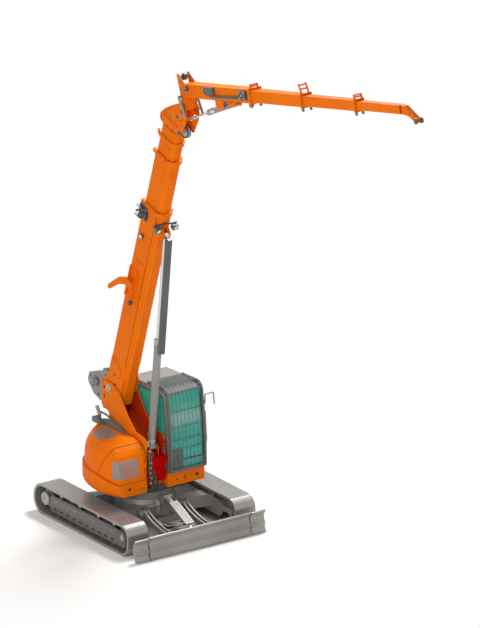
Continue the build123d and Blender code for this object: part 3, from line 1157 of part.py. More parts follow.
jib_foot = placed(jib_pin, JIB_ANGLE, JIB_CYLINDER_FOOT)
jib_eye = placed(PIVOT, BOOM_ANGLE, JIB_ROD_EYE)
jib_line = turned(jib_foot, slope(jib_foot, jib_eye))
jib_reach = distance(jib_foot, jib_eye)
JIB_BARREL_LENGTH = 1000.0

with BuildPart() as jib_barrel:
    bar((0, 0), 40, BOOM_Y - JIB_BARREL_RADIUS, BOOM_Y + JIB_BARREL_RADIUS, frame=jib_line)
    rod_along(jib_line, JIB_BARREL_RADIUS, 30, JIB_BARREL_LENGTH, BOOM_Y)
    rod_along(jib_line, JIB_ROD_RADIUS + FIT, 80, JIB_BARREL_LENGTH + 1, BOOM_Y, mode=Mode.SUBTRACT)
    bar((0, 0), 22 + FIT, BOOM_Y - 100, BOOM_Y + 100, frame=jib_line, mode=Mode.SUBTRACT)
finish(jib_barrel, "jib_cylinder_barrel", GREY)

with BuildPart() as jib_rod:
    rod_along(jib_line, JIB_ROD_RADIUS, 600, jib_reach - 20, BOOM_Y)
    bar((jib_reach, 0), 44, BOOM_Y - JIB_EYE_HALF + 4, BOOM_Y + JIB_EYE_HALF - 4, frame=jib_line)
    bar((jib_reach, 0), 26, BOOM_Y - JIB_EYE_HALF, BOOM_Y + JIB_EYE_HALF, frame=jib_line)
finish(jib_rod, "jib_cylinder_rod", CHROME)
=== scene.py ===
import json
import math

import bmesh
import bpy
from mathutils import Matrix, Vector


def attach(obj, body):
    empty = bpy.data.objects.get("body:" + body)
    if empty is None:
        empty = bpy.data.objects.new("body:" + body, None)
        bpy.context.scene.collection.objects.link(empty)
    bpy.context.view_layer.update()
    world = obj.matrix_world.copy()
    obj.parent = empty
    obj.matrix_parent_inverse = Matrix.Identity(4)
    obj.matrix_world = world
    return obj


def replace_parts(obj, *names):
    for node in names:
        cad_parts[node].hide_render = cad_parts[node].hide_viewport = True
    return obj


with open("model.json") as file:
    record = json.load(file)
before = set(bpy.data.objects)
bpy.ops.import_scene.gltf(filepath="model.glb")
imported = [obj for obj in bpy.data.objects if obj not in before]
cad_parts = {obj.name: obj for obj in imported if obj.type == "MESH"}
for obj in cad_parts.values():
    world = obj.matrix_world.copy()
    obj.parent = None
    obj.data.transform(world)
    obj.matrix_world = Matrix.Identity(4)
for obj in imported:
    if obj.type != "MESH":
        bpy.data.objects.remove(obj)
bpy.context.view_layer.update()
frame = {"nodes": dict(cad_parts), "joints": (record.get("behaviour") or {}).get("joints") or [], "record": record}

# Lengths are metres. Side-view points are (x, z), x from the slew axis. On the boom, the jib and the
# cylinders they are (s, w): s runs along the part from its pivot and w towards its upper side, and y is
# measured from the part's own middle.
JOINTS = {j["name"]: j for j in frame["joints"]}
SLEW_X = JOINTS["slew"]["pos_m"][0]
BOOM_Y = JOINTS["boom_raise"]["pos_m"][1]
OUT, UP, FORWARD = (0, 1, 0), (0, 0, 1), (1, 0, 0)


def own_frame(pivot, slide, y=BOOM_Y):
    """Frame of a tilted part: origin at its pivot joint and y, x along its slide joint, z upwards from it."""
    forwards = Vector(JOINTS[slide]["axis"]).normalized()
    left = Vector(OUT)
    turn = Matrix((forwards, left, forwards.cross(left))).transposed().to_4x4()
    x, _, z = JOINTS[pivot]["pos_m"]
    return Matrix.Translation((x, y, z)) @ turn


BASE = Matrix.Translation((SLEW_X, 0, 0))
BOOM = own_frame("boom_raise", "section_2_slide")
JIB = own_frame("jib_luff", "jib_2_slide")
DERRICK = own_frame("derrick_barrel_turn", "derrick_rod_slide")
JIB_CYLINDER = own_frame("jib_barrel_turn", "jib_rod_slide")
BLADE_CYLINDER = own_frame("blade_barrel_turn", "blade_rod_slide", 0)


def link_object(name, data):
    """New object in the scene."""
    made = bpy.data.objects.new(name, data)
    bpy.context.scene.collection.objects.link(made)
    return made


# Materials

def new_material(name):
    """Empty node material and its shader."""
    made = bpy.data.materials.new(name)
    made.use_nodes = True
    return made, made.node_tree.nodes["Principled BSDF"]


def fill(tree, holder, values):
    """Inputs of a node: each takes its value, or a link from the socket that stands for it."""
    for key, value in values.items():
        if isinstance(value, bpy.types.NodeSocket):
            tree.links.new(value, holder.inputs[key])
        else:
            holder.inputs[key].default_value = value


def node(tree, kind, inputs=None, **settings):
    """Shader node with its settings and its inputs."""
    made = tree.nodes.new(kind)
    for key, value in settings.items():
        setattr(made, key, value)
    fill(tree, made, inputs or {})
    return made


def ramp(tree, source, low, high):
    """Colour that runs from low to high over the middle of a grey source."""
    made = node(tree, "ShaderNodeValToRGB", {"Fac": source})
    for element, position, colour in zip(made.color_ramp.elements, (0.3, 0.7), (low, high)):
        element.position = position
        element.color = (*colour, 1)
    return made.outputs["Color"]


def finish_of(name, low, high, roughness, metallic=0.0, coat=0.0, cloud=1.3, grain=160.0, relief=0.04,
              spread=0.07, shine=0.5):
    """Painted or bare metal: clouded colour, roughness that varies with it, and a fine surface relief."""
    made, shader = new_material(name)
    tree = made.node_tree
    where = node(tree, "ShaderNodeTexCoord").outputs["Object"]
    clouds = node(tree, "ShaderNodeTexNoise", {"Vector": where, "Scale": cloud, "Detail": 6.0,
                                               "Roughness": 0.6})
    gloss = node(tree, "ShaderNodeMapRange", {"Value": clouds.outputs["Fac"], "To Min": roughness - spread,
                                              "To Max": roughness + spread})
    fine = node(tree, "ShaderNodeTexNoise", {"Vector": where, "Scale": grain, "Detail": 3.0})
    bump = node(tree, "ShaderNodeBump", {"Height": fine.outputs["Fac"], "Strength": relief,
                                         "Distance": 0.004})
    fill(tree, shader, {
        "Base Color": ramp(tree, clouds.outputs["Fac"], low, high), "Roughness": gloss.outputs["Result"],
        "Normal": bump.outputs["Normal"], "Metallic": metallic, "Specular IOR Level": shine,
        "Coat Weight": coat, "Coat Roughness": 0.12,
    })
    return made


def glass_of(name, colour, reflection_band=None):
    """Tinted pane that shows the seat and keeps its colour, with a painted reflection as a paler band about a
    height.
    """
    made, shader = new_material(name)
    tree = made.node_tree
    where = node(tree, "ShaderNodeTexCoord").outputs["Object"]
    clouds = node(tree, "ShaderNodeTexNoise", {"Vector": where, "Scale": 0.9, "Detail": 2.0})
    tint = ramp(tree, clouds.outputs["Fac"], tuple(0.85 * c for c in colour), colour)
    # painted reflection: the tint turns paler towards the given height
    if reflection_band:
        height = node(tree, "ShaderNodeSeparateXYZ", {"Vector": where}).outputs["Z"]
        offset = node(tree, "ShaderNodeMath", {0: height, 1: reflection_band}, operation="SUBTRACT")
        distance = node(tree, "ShaderNodeMath", {0: offset.outputs[0]}, operation="ABSOLUTE")
        share = node(tree, "ShaderNodeMapRange", {"Value": distance.outputs[0], "From Max": 0.26,
                                                  "To Min": 0.62, "To Max": 0.0})
        painted_reflection = node(tree, "ShaderNodeMix", {"Factor": share.outputs["Result"], "A": tint,
                                             "B": (0.72, 0.95, 0.90, 1)}, data_type="RGBA")
        tint = painted_reflection.outputs["Result"]
    fill(tree, shader, {"Base Color": tint, "Roughness": 0.06, "Transmission Weight": 0.45, "IOR": 1.45})
    return made


def cloth_of(name, low, high):
    """Woven seat cloth with a soft sheen."""
    made, shader = new_material(name)
    tree = made.node_tree
    where = node(tree, "ShaderNodeTexCoord").outputs["Object"]
    clouds = node(tree, "ShaderNodeTexNoise", {"Vector": where, "Scale": 9.0, "Detail": 4.0})
    weave = node(tree, "ShaderNodeTexWave", {"Vector": where, "Scale": 120.0, "Distortion": 1.5})
    bump = node(tree, "ShaderNodeBump", {"Height": weave.outputs["Fac"], "Strength": 0.3,
                                         "Distance": 0.002})
    fill(tree, shader, {"Base Color": ramp(tree, clouds.outputs["Fac"], low, high),
                        "Normal": bump.outputs["Normal"], "Roughness": 0.85, "Sheen Weight": 0.3})
    return made


ORANGE = finish_of("orange_paint", (0.77, 0.150, 0.002), (0.85, 0.180, 0.003), 0.45, shine=0.05)
# Darker orange that paints shade in the boom's creases and beside the head's flanges
SHADE_ORANGE = finish_of("deep_orange_paint", (0.48, 0.055, 0.002), (0.56, 0.07, 0.002), 0.45, shine=0.05)
# Paler orange that paints highlights along the boom's lower edges
HIGHLIGHT_ORANGE = finish_of("light_orange_paint", (0.92, 0.26, 0.01), (0.98, 0.31, 0.012), 0.4, shine=0.2)
GREY = finish_of("grey_paint", (0.23, 0.225, 0.215), (0.29, 0.285, 0.275), 0.42, metallic=0.35)
PANEL_GREY = finish_of("panel_paint", (0.125, 0.12, 0.115), (0.175, 0.17, 0.16), 0.42, metallic=0.35)
PALE_GREY = finish_of("pale_grey_paint", (0.36, 0.355, 0.345), (0.43, 0.425, 0.41), 0.4, metallic=0.3)
TRACK = finish_of("track_steel", (0.27, 0.265, 0.255), (0.34, 0.33, 0.32), 0.36, metallic=0.55, cloud=0.8)
DARK = finish_of("dark_steel", (0.085, 0.088, 0.09), (0.13, 0.132, 0.135), 0.46, metallic=0.5)
RED = finish_of("red_paint", (0.40, 0.001, 0.001), (0.46, 0.001, 0.001), 0.5, shine=0.02)
# Deep red that paints the shade inside the pedestal's trough
TROUGH_SHADE = finish_of("trough_paint", (0.38, 0.026, 0.002), (0.48, 0.038, 0.003), 0.45, shine=0.05)
CHROME = finish_of("chrome_rod", (0.62, 0.62, 0.61), (0.72, 0.72, 0.71), 0.18, metallic=1.0, relief=0.01,
                   spread=0.04)
LAMP = finish_of("lamp_face", (0.72, 0.74, 0.70), (0.82, 0.84, 0.80), 0.25, coat=0.6)
BLADE_GREY = finish_of("blade_paint", (0.25, 0.24, 0.225), (0.32, 0.31, 0.29), 0.4, metallic=0.35)
WINCH_GREY = finish_of("winch_paint", (0.22, 0.20, 0.185), (0.28, 0.26, 0.24), 0.42, metallic=0.3)
COVER_GREY = finish_of("cover_paint", (0.11, 0.125, 0.105), (0.16, 0.175, 0.15), 0.45)
VALVE_RED = finish_of("valve_paint", (0.26, 0.016, 0.010), (0.36, 0.022, 0.014), 0.42, shine=0.2)
GUARD_GREY = finish_of("guard_paint", (0.12, 0.135, 0.13), (0.17, 0.19, 0.18), 0.5, metallic=0.2, shine=0.2)
PIPE_GREEN = finish_of("pipe_paint", (0.055, 0.10, 0.085), (0.09, 0.15, 0.125), 0.4)
PALE_FITTING = finish_of("fitting_paint", (0.50, 0.62, 0.50), (0.66, 0.76, 0.64), 0.35)
RUBBER = finish_of("black_rubber", (0.018, 0.018, 0.019), (0.032, 0.032, 0.033), 0.6, grain=300.0)
SHADE = finish_of("seam_shade", (0.010, 0.009, 0.008), (0.018, 0.016, 0.014), 0.7)
GLASS = glass_of("tinted_glass", (0.05, 0.72, 0.56))
# the windscreen's paler band about 2.06 m high is a painted reflection
SCREEN = glass_of("windscreen_glass", (0.07, 0.80, 0.66), 2.06)
CLOTH = cloth_of("seat_cloth", (0.035, 0.037, 0.04), (0.06, 0.063, 0.068))

# The finishes that stand for each slot of the record; the first of them goes on the part's own nodes
SLOT_FINISHES = {
    "orange_paint": (ORANGE, SHADE_ORANGE, HIGHLIGHT_ORANGE),
    "grey_paint": (GREY, PANEL_GREY, PALE_GREY, BLADE_GREY, WINCH_GREY, COVER_GREY, GUARD_GREY, PIPE_GREEN),
    "track_steel": (TRACK,),
    "dark_steel": (DARK, RUBBER, SHADE),
    "red_paint": (RED, VALVE_RED),
    "chrome_rod": (CHROME,),
    "glass_teal": (GLASS, SCREEN),
    "seat_cloth": (CLOTH,),
    "lamp_pale": (LAMP, PALE_FITTING),
}
SLOT_OF = {finish.name: slot for slot, finishes in SLOT_FINISHES.items() for finish in finishes}
for part in frame["record"]["subparts"]:
    shown = frame["nodes"][part["node"]]
    shown.data.materials.clear()
    shown.data.materials.append(SLOT_FINISHES[part["material_slot"]][0])


def repaint(piece, material, chosen):
    """Second finish on the faces of a piece that chosen(centre, normal) picks, x from the slew axis."""
    mesh = piece.data
    mesh.materials.append(material)
    for face in mesh.polygons:
        if chosen(face.center - Vector((SLEW_X, 0, 0)), face.normal):
            face.material_index = len(mesh.materials) - 1


def inside_sheet(centre, normal):
    """Faces of a hood sheet that look inwards, which take a painted shade."""
    return centre.x * normal.x + centre.y * normal.y < -0.3 or normal.z < -0.6


ROOF_Z = 2.49               # the roof window lies above it
repaint(frame["nodes"]["cab_glass"], GUARD_GREY, lambda at, normal: at.z > ROOF_Z and abs(normal.z) > 0.5)
# the front-facing panes take the windscreen glass with its painted reflection
repaint(frame["nodes"]["cab_glass"], SCREEN, lambda at, normal: normal.x > 0.5)
# Painted shade: the inner faces of the hood and the side cover are near-black
repaint(frame["nodes"]["engine_hood"], SHADE, inside_sheet)
repaint(frame["nodes"]["side_cover"], SHADE, inside_sheet)
frame["nodes"]["work_lamps"].data.materials[0] = COVER_GREY


# Pieces: a form gathers solids in one mesh, drawn in the machine's or in a tilted part's own frame

SHARP_EDGE = math.radians(35)       # edges that are bevelled
CREASE = math.radians(32)           # edges that stay sharp in the shading


def circle(radius, sides):
    """Points of a circle about the origin, counter-clockwise."""
    angles = [2 * math.pi * n / sides for n in range(sides)]
    return [(radius * math.cos(a), radius * math.sin(a)) for a in angles]


def arc_through(start, middle, end, steps):
    """Points of the arc from start through middle to end, both ends included."""
    (ax, ay), (bx, by), (cx, cy) = start, middle, end
    d = 2 * (ax * (by - cy) + bx * (cy - ay) + cx * (ay - by))
    a2, b2, c2 = ax * ax + ay * ay, bx * bx + by * by, cx * cx + cy * cy
    ux = (a2 * (by - cy) + b2 * (cy - ay) + c2 * (ay - by)) / d
    uy = (a2 * (cx - bx) + b2 * (ax - cx) + c2 * (bx - ax)) / d
    first, mid, last = (math.atan2(y - uy, x - ux) for x, y in (start, middle, end))
    turn = (last - first) % (2 * math.pi)
    if (mid - first) % (2 * math.pi) > turn:
        turn -= 2 * math.pi
    radius = math.hypot(ax - ux, ay - uy)
    angles = [first + turn * n / steps for n in range(steps + 1)]
    return [(ux + radius * math.cos(a), uy + radius * math.sin(a)) for a in angles]


def rounded(points, bend, steps=5):
    """Path with each inner corner turned into an arc that starts and ends bend away from it at most."""
    path = [Vector(points[0])]
    for before, corner, after in zip(points, points[1:], points[2:]):
        before, corner, after = Vector(before), Vector(corner), Vector(after)
        reach = min(bend, 0.48 * (corner - before).length, 0.48 * (after - corner).length)
        start = corner + reach * (before - corner).normalized()
        end = corner + reach * (after - corner).normalized()
        for n in range(steps + 1):
            t = n / steps
            path.append((1 - t) ** 2 * start + 2 * t * (1 - t) * corner + t * t * end)
    path.append(Vector(points[-1]))
    return path


def across_at(points, z):
    """First coordinate of a rising line through (x, z) points where it passes a height."""
    for (x0, z0), (x1, z1) in zip(points, points[1:]):
        if z0 <= z <= z1:
            return x0 + (x1 - x0) * (z - z0) / (z1 - z0)


class Form:
    """A piece in the making."""

    def __init__(self, place=BASE):
        self.place = place
        self.mesh = bmesh.new()

    def skin(self, rings):
        """Solid between rings of equally many points, its two ends filled."""
        made = [[self.mesh.verts.new(self.place @ Vector(point)) for point in ring] for ring in rings]
        count = len(made[0])
        for low, high in zip(made, made[1:]):
            for n in range(count):
                self.mesh.faces.new((low[n], low[(n + 1) % count], high[(n + 1) % count], high[n]))
        self.mesh.faces.new(made[0])
        self.mesh.faces.new(made[-1])

    def plate(self, outline, low, high):
        """Side-view outline between two y values."""
        self.skin([[(x, y, z) for x, z in outline] for y in (low, high)])

    def box(self, x, y, z):
        """Block between pairs of x, y and z."""
        self.plate([(x[0], z[0]), (x[1], z[0]), (x[1], z[1]), (x[0], z[1])], *y)

    def prism(self, outline, start, end):
        """Cross outline of (y, z) points between two distances along x."""
        self.skin([[(x, y, z) for y, z in outline] for x in (start, end)])

    def turned(self, centre, profile, sides=20, axis=OUT):
        """Solid of revolution: profile holds (distance along axis, radius) pairs from centre."""
        axis = Vector(axis).normalized()
        across = axis.orthogonal().normalized()
        up = axis.cross(across)
        centre = Vector(centre)
        self.skin([[centre + along * axis + a * across + b * up for a, b in circle(radius, sides)]
                   for along, radius in profile])

    def disc(self, centre, radius, height, top, sides=20, axis=OUT, chamfer=0.004):
        """Disc whose rim narrows to a top radius."""
        self.turned(centre, [(0, radius), (height, radius), (height + chamfer, top)], sides, axis)

    def fitting(self, centre, radius, height, neck, reach, sides, axis=OUT):
        """Hose fitting: a nut and the narrower neck on it."""
        nut = [(0, radius), (height, radius), (height + 0.004, neck), (reach, neck)]
        self.turned(centre, nut, sides, axis)

    def hole(self, centre, radius, sides=20, axis=OUT, deep=0.004, proud=0.0015):
        """Dark disc that paints the shade inside a hole."""
        self.turned(centre, [(-deep, radius), (proud, radius)], sides, axis)

    def bolt(self, centre, size=0.012, axis=OUT):
        """Washer with a six-sided head on it."""
        washer = [(-0.002, 1.25 * size), (0.18 * size, 1.25 * size), (0.25 * size, 1.1 * size)]
        self.turned(centre, washer, 14, axis)
        self.turned(centre, [(0, size), (0.75 * size, size), (0.9 * size, 0.8 * size)], 6, axis)

    def cap(self, centre, radius, height):
        """Pin end: collar, chamfered boss and the retaining bolt in its middle."""
        self.turned(centre, [(-0.004, radius), (0.55 * height, radius), (0.8 * height, 0.92 * radius),
                             (height, 0.8 * radius)], 28)
        self.bolt(Vector(centre) + height * Vector(OUT), 0.26 * radius)

    def pipe(self, points, radius, bend=0.05, sides=10):
        """Round pipe along a path with rounded corners."""
        path = rounded(points, bend)
        heading = (path[1] - path[0]).normalized()
        across = heading.orthogonal().normalized()
        rings = []
        for n, point in enumerate(path):
            ahead = path[min(n + 1, len(path) - 1)] - path[max(n - 1, 0)]
            if ahead.length > 1e-9:
                heading = ahead.normalized()
            across = (across - across.dot(heading) * heading).normalized()
            up = heading.cross(across)
            rings.append([point + a * across + b * up for a, b in circle(radius, sides)])
        self.skin(rings)

    def done(self, name, material, body, bevel=0.0, replaced=None, slot=None, crease=CREASE):
        """Finished piece: its edges bevelled, smooth but for its creases, riding on its body."""
        bmesh.ops.recalc_face_normals(self.mesh, faces=self.mesh.faces)
        if bevel:
            sharp = [edge for edge in self.mesh.edges
                     if len(edge.link_faces) == 2 and edge.calc_face_angle() > SHARP_EDGE]
            bmesh.ops.bevel(self.mesh, geom=sharp, offset=bevel, segments=2, profile=0.7, affect="EDGES",
                            clamp_overlap=True)
        mesh = bpy.data.meshes.new(name)
        self.mesh.to_mesh(mesh)
        self.mesh.free()
        mesh.materials.append(material)
        mesh.polygons.foreach_set("use_smooth", [True] * len(mesh.polygons))
        if crease:
            mesh.set_sharp_from_angle(angle=crease)
        piece = link_object(name, mesh)
        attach(piece, body)
        slot or SLOT_OF[material.name]
        if replaced:
            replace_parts(piece, replaced)
        return piece


def forms(count, place=BASE):
    """Several empty forms in one frame."""
    return [Form(place) for _ in range(count)]


def outwards(half, hand, middle=0):
    """Frame at a face that lies half from the middle, y measured outwards from it on the side of hand."""
    return Matrix.Translation((0, middle + hand * half, 0)) @ Matrix.Diagonal((1, hand, 1, 1))


def both_sides(half, *made, middle=0):
    """Twice, for right and left: the forms made are meanwhile drawn outwards from a face."""
    places = [form.place for form in made]
    for hand in (-1, 1):
        for form, place in zip(made, places):
            form.place = place @ outwards(half, hand, middle)
        yield hand
    for form, place in zip(made, places):
        form.place = place


# Undercarriage

TRACK_OUTER = 1.345         # outer face of the side frames
SPROCKET = (-1.245, 0.3)
IDLER = (1.2527, 0.3)
PANEL_OUTLINE = [(-1.09, 0.16), (-1.05, 0.105), (1.27, 0.105), (1.335, 0.15), (1.335, 0.385), (1.25, 0.43),
                 (-1.02, 0.43), (-1.09, 0.36)]
# dark sheet inside the track's loop: painted shade that shows through its gaps
WELL_OUTLINE = [(-1.36, 0.075), (1.3, 0.075), (1.42, 0.18), (1.42, 0.42), (1.3, 0.525), (-1.36, 0.525),
                (-1.44, 0.42), (-1.44, 0.18)]
SLOT_COUNT, SLOT_PITCH, SLOT_START = 10, 0.205, -0.93
ROLLER_ENDS = (-0.75, -0.15, 0.45, 0.95)
RING_BOLTS, RING_BOLT_RADIUS = 28, 0.541
BODY_TOP = 0.58


def make_undercarriage():
    """Side panels with their openings in painted shade, hub covers, roller ends and the slew ring's bolts."""
    for name, hand in (("left", 1), ("right", -1)):
        panel, holes, steel = forms(3, BASE @ outwards(TRACK_OUTER, hand))
        panel.plate(PANEL_OUTLINE, -0.004, 0.006)
        panel.box((-1.0, 1.22), (0.004, 0.016), (0.385, 0.40))
        panel.box((-0.93, 1.25), (0.004, 0.014), (0.112, 0.124))
        # the slots, the sheet inside the loop and the roller ends' recesses are dark plates that paint the shade
        # in the openings
        for n in range(SLOT_COUNT):
            x = SLOT_START + n * SLOT_PITCH
            slot = [(x - 0.055, 0.165), (x + 0.04, 0.165), (x + 0.055, 0.2), (x - 0.04, 0.2)]
            holes.plate(slot, 0.003, 0.0075)
        holes.plate(WELL_OUTLINE, 1.24 - TRACK_OUTER, 1.25 - TRACK_OUTER)
        for x in ROLLER_ENDS:
            holes.box((x - 0.05, x + 0.05), (-0.06, -0.006), (0.42, 0.50))
            steel.disc((x, -0.03, 0.49), 0.045, 0.02, 0.035, chamfer=0.005)
        steel.cap((SPROCKET[0], 0, SPROCKET[1]), 0.125, 0.03)
        steel.disc((IDLER[0] - 0.02, 0, IDLER[1]), 0.06, 0.014, 0.05, 24)
        for dx, dz in circle(0.095, 8):
            steel.bolt((SPROCKET[0] + dx, 0.027, SPROCKET[1] + dz), 0.009)
        for x in (-0.9, -0.3, 0.3, 0.9):
            steel.bolt((x, 0.006, 0.34))
        panel.done("side_panel_" + name, PANEL_GREY, "root", 0.002)
        holes.done("side_openings_" + name, SHADE, "root")
        steel.done("hub_covers_" + name, PALE_GREY, "root", 0.001)
    bolts, pipes = forms(2)
    for x, y in circle(RING_BOLT_RADIUS, RING_BOLTS):
        bolts.bolt((x, y, BODY_TOP), 0.011, UP)
    for _ in both_sides(0.513, bolts):
        bolts.cap((BLADE_PIN[0], 0, BLADE_PIN[1]), 0.05, 0.02)
    bolts.done("slew_ring_bolts", PALE_GREY, "root")
    for y in (-0.16, -0.12, 0.14):
        pipes.pipe([(0.50, y, 0.585), (0.60, y, 0.60), (0.66, y, 0.52), (0.66, y, 0.36)], 0.012)
    pipes.pipe([(0.585, -0.34, 0.50), (0.63, -0.34, 0.50), (0.63, 0.30, 0.50), (0.585, 0.30, 0.50)], 0.012)
    pipes.done("travel_pipes", PALE_GREY, "root")


# Blade

BLADE_HALF, BLADE_SEAM = 1.45, 1.13
ARM_INNER, ARM_OUTER, ARM_PLATE = 0.375, 0.485, 0.022
ROD_LUG = 0.041             # inner face of the rod's lugs
BLADE_PIN = (0.64, 0.40)
BLADE_EYE = (1.57, 0.26)
# pale strip along the mouldboard's ridge, a painted highlight
RIDGE_HIGHLIGHT = ((1.824, 0.181), (1.836, 0.186), (1.837, 0.192), (1.822, 0.199))
ROD_LUG_OUTLINE = [(1.71, 0.13), (1.75, 0.33), (1.67, 0.335), (1.525, 0.295), (1.525, 0.19), (1.62, 0.14)]


def mouldboard(drop, proud=0.0):
    """Side outline of the blade: two hollows in front, a ridge between them and a rolled rim."""
    front = 1.86 + proud
    face = []
    for start, middle, end, steps in (((0, 0.022), (-0.062, 0.096), (-0.03, 0.19), 8),
                                      ((-0.03, 0.19), (-0.098, 0.3), (-0.042, 0.406), 10),
                                      ((-0.042, 0.406), (-0.066, 0.44), (-0.092, 0.41), 6)):
        points = [(front + x, z - drop) for x, z in (start, middle, end)]
        face += arc_through(*points, steps)[1 if face else 0:]
    return face + [(1.72, 0.295 - drop), (1.734, 0.17 - drop), (1.80, 0.022 - drop)]


def make_blade():
    """Mouldboard with its end pieces, concave arms, the plate between them and the rod's lugs, with painted
    highlights on the ridge and the arms' top edges and painted shade between the arm plates and on the web.
    """
    steel, seams_and_shade, highlights_and_fittings = forms(3)
    for start, end, drop in ((-BLADE_SEAM, BLADE_SEAM, 0.0), (-BLADE_HALF, -BLADE_SEAM, 0.01),
                             (BLADE_SEAM, BLADE_HALF, 0.01)):
        steel.plate(mouldboard(drop), start + 0.0005, end - 0.0005)
        highlights_and_fittings.plate([(x, z - drop) for x, z in RIDGE_HIGHLIGHT], start, end)
    top = arc_through((1.69, 0.275), (1.14, 0.285), (0.70, 0.455), 14)
    heel = arc_through((0.66, 0.46), (0.585, 0.42), (0.62, 0.345), 6)
    low = arc_through((0.68, 0.31), (1.12, 0.175), (1.69, 0.12), 10)
    sunk = [(x, z - 0.045) for x, z in top[:-1]]
    gusset = [(1.30, 0.45, 0.175), (1.72, 0.45, 0.16), (1.72, 1.0, 0.16), (1.55, 0.62, 0.168)]
    for _ in both_sides(0, steel, seams_and_shade, highlights_and_fittings):
        seams_and_shade.plate(mouldboard(0.004, 0.0035), BLADE_SEAM - 0.009, BLADE_SEAM + 0.009)
        steel.plate([(1.70, 0.06), (1.79, 0.04), (1.76, 0.2), (1.735, 0.4), (1.69, 0.4)],
                    BLADE_SEAM - 0.03, BLADE_SEAM - 0.008)
        for y in (ARM_INNER, ARM_OUTER - ARM_PLATE):
            steel.plate(top + heel + low, y, y + ARM_PLATE)
            # pale strips on the arms' top edges are painted highlights
            highlights_and_fittings.plate([(x, z + 0.0005) for x, z in top] + [(x, z + 0.008) for x, z in reversed(top)],
                         y - 0.004, y + ARM_PLATE + 0.004)
        # painted shade: a dark sheet between each arm's two plates
        seams_and_shade.plate(sunk + [(x, z - 0.02) for x, z in reversed(sunk)], ARM_INNER + 0.01, ARM_OUTER - 0.01)
        highlights_and_fittings.turned((BLADE_PIN[0], ARM_INNER + 0.01, BLADE_PIN[1]), [(0, 0.05), (0.09, 0.05)], 24)
        steel.skin([gusset, [(x, y, z + 0.02) for x, y, z in gusset]])
        # painted shade on the web beside the gusset
        seams_and_shade.box((1.40, 1.52), (0.50, 0.60), (0.19, 0.1985))
        steel.plate(ROD_LUG_OUTLINE, ROD_LUG, ROD_LUG + ARM_PLATE)
        highlights_and_fittings.cap((BLADE_EYE[0], ROD_LUG + ARM_PLATE, BLADE_EYE[1]), 0.04, 0.016)
    web = ((1.16, -0.43), (1.16, 0.43), (1.70, 0.97), (1.70, -0.97))
    steel.skin([[(x, y, z) for x, y in web] for z in (0.17, 0.19)])
    steel.plate([(0.90, 0.215), (1.20, 0.17), (1.20, 0.19), (0.90, 0.235)], -0.39, 0.39)
    steel.plate([(0.86, 0.21), (0.885, 0.21), (0.90, 0.33), (0.875, 0.33)], -0.39, 0.39)
    # painted shade on the web near the middle
    for _ in both_sides(0.12, seams_and_shade):
        seams_and_shade.box((0.98, 1.12), (0, 0.14), (0.19, 0.232))
        seams_and_shade.box((1.24, 1.42), (0, 0.21), (0.185, 0.192))
    highlights_and_fittings.box((1.44, 1.47), (-0.39, 0.39), (0.19, 0.225))
    highlights_and_fittings.pipe([(0.9, -0.3, 0.3), (0.98, -0.3, 0.255), (1.12, -0.2, 0.245), (1.12, 0.22, 0.245)], 0.011)
    steel.done("blade_body", BLADE_GREY, "blade", 0.003, "blade")
    highlights_and_fittings.done("blade_edges", PALE_GREY, "blade", 0.001)
    # dark seam lines at the wings' joints, and the painted shade patches
    seams_and_shade.done("blade_seams", SHADE, "blade")


# Revolving frame

PLATE_OUTER, PLATE_THICK = 0.21, 0.025          # pedestal's plates, measured from the boom's middle plane
TROUGH_FLOOR = 1.2
PEDESTAL_OUTLINE = [(0.50, 0.82), (0.50, 1.73), (0.44, 1.785), (0.158, 1.812), (-0.097, 2.048),
                    (-0.352, 2.41), (-0.60, 2.53), (-0.81, 2.53), (-0.93, 2.46), (-0.93, 2.03),
                    (-0.70, 1.95), (-0.64, 1.70), (-0.76, 0.82)]
CROSS_PLATES = (
    [(0.30, 1.65), (-0.42, 1.96), (-0.42, 1.985), (0.30, 1.678)],
    [(-0.42, 1.96), (-0.90, 1.98), (-0.90, 2.0), (-0.42, 1.985)],
    [(0.44, 0.82), (0.465, 0.82), (0.465, 1.40), (0.44, 1.40)],
    [(0.30, 1.38), (0.44, 1.38), (0.44, 1.40), (0.30, 1.40)],
    [(-0.64, 0.82), (-0.615, 0.82), (-0.56, 1.90), (-0.585, 1.90)],
)
PLATE_HOLES = [(-0.84, 2.395, 0.026), (-0.835, 2.25, 0.022), (-0.835, 2.20, 0.022), (-0.45, 1.40, 0.09)]
DERRICK_FOOT = (0.37, 1.55)
DERRICK_LUG = [(0.28, 1.395), (0.465, 1.395), (0.465, 1.56), (0.41, 1.625), (0.32, 1.625), (0.28, 1.56)]
LUG_FACE = 0.107 - PLATE_OUTER      # derrick lugs' outer faces, from the plates' own
PIVOT = (-0.698, 2.415)


def inside_trough(centre, normal):
    """Inner faces of the pedestal's plates and the cross plates between them, above the derrick's foot, where the
    trough's shade is painted.
    """
    within = abs(centre.y - BOOM_Y) < PLATE_OUTER - PLATE_THICK + 0.002
    return within and centre.z > TROUGH_FLOOR and abs(normal.y) + normal.z > 0.3


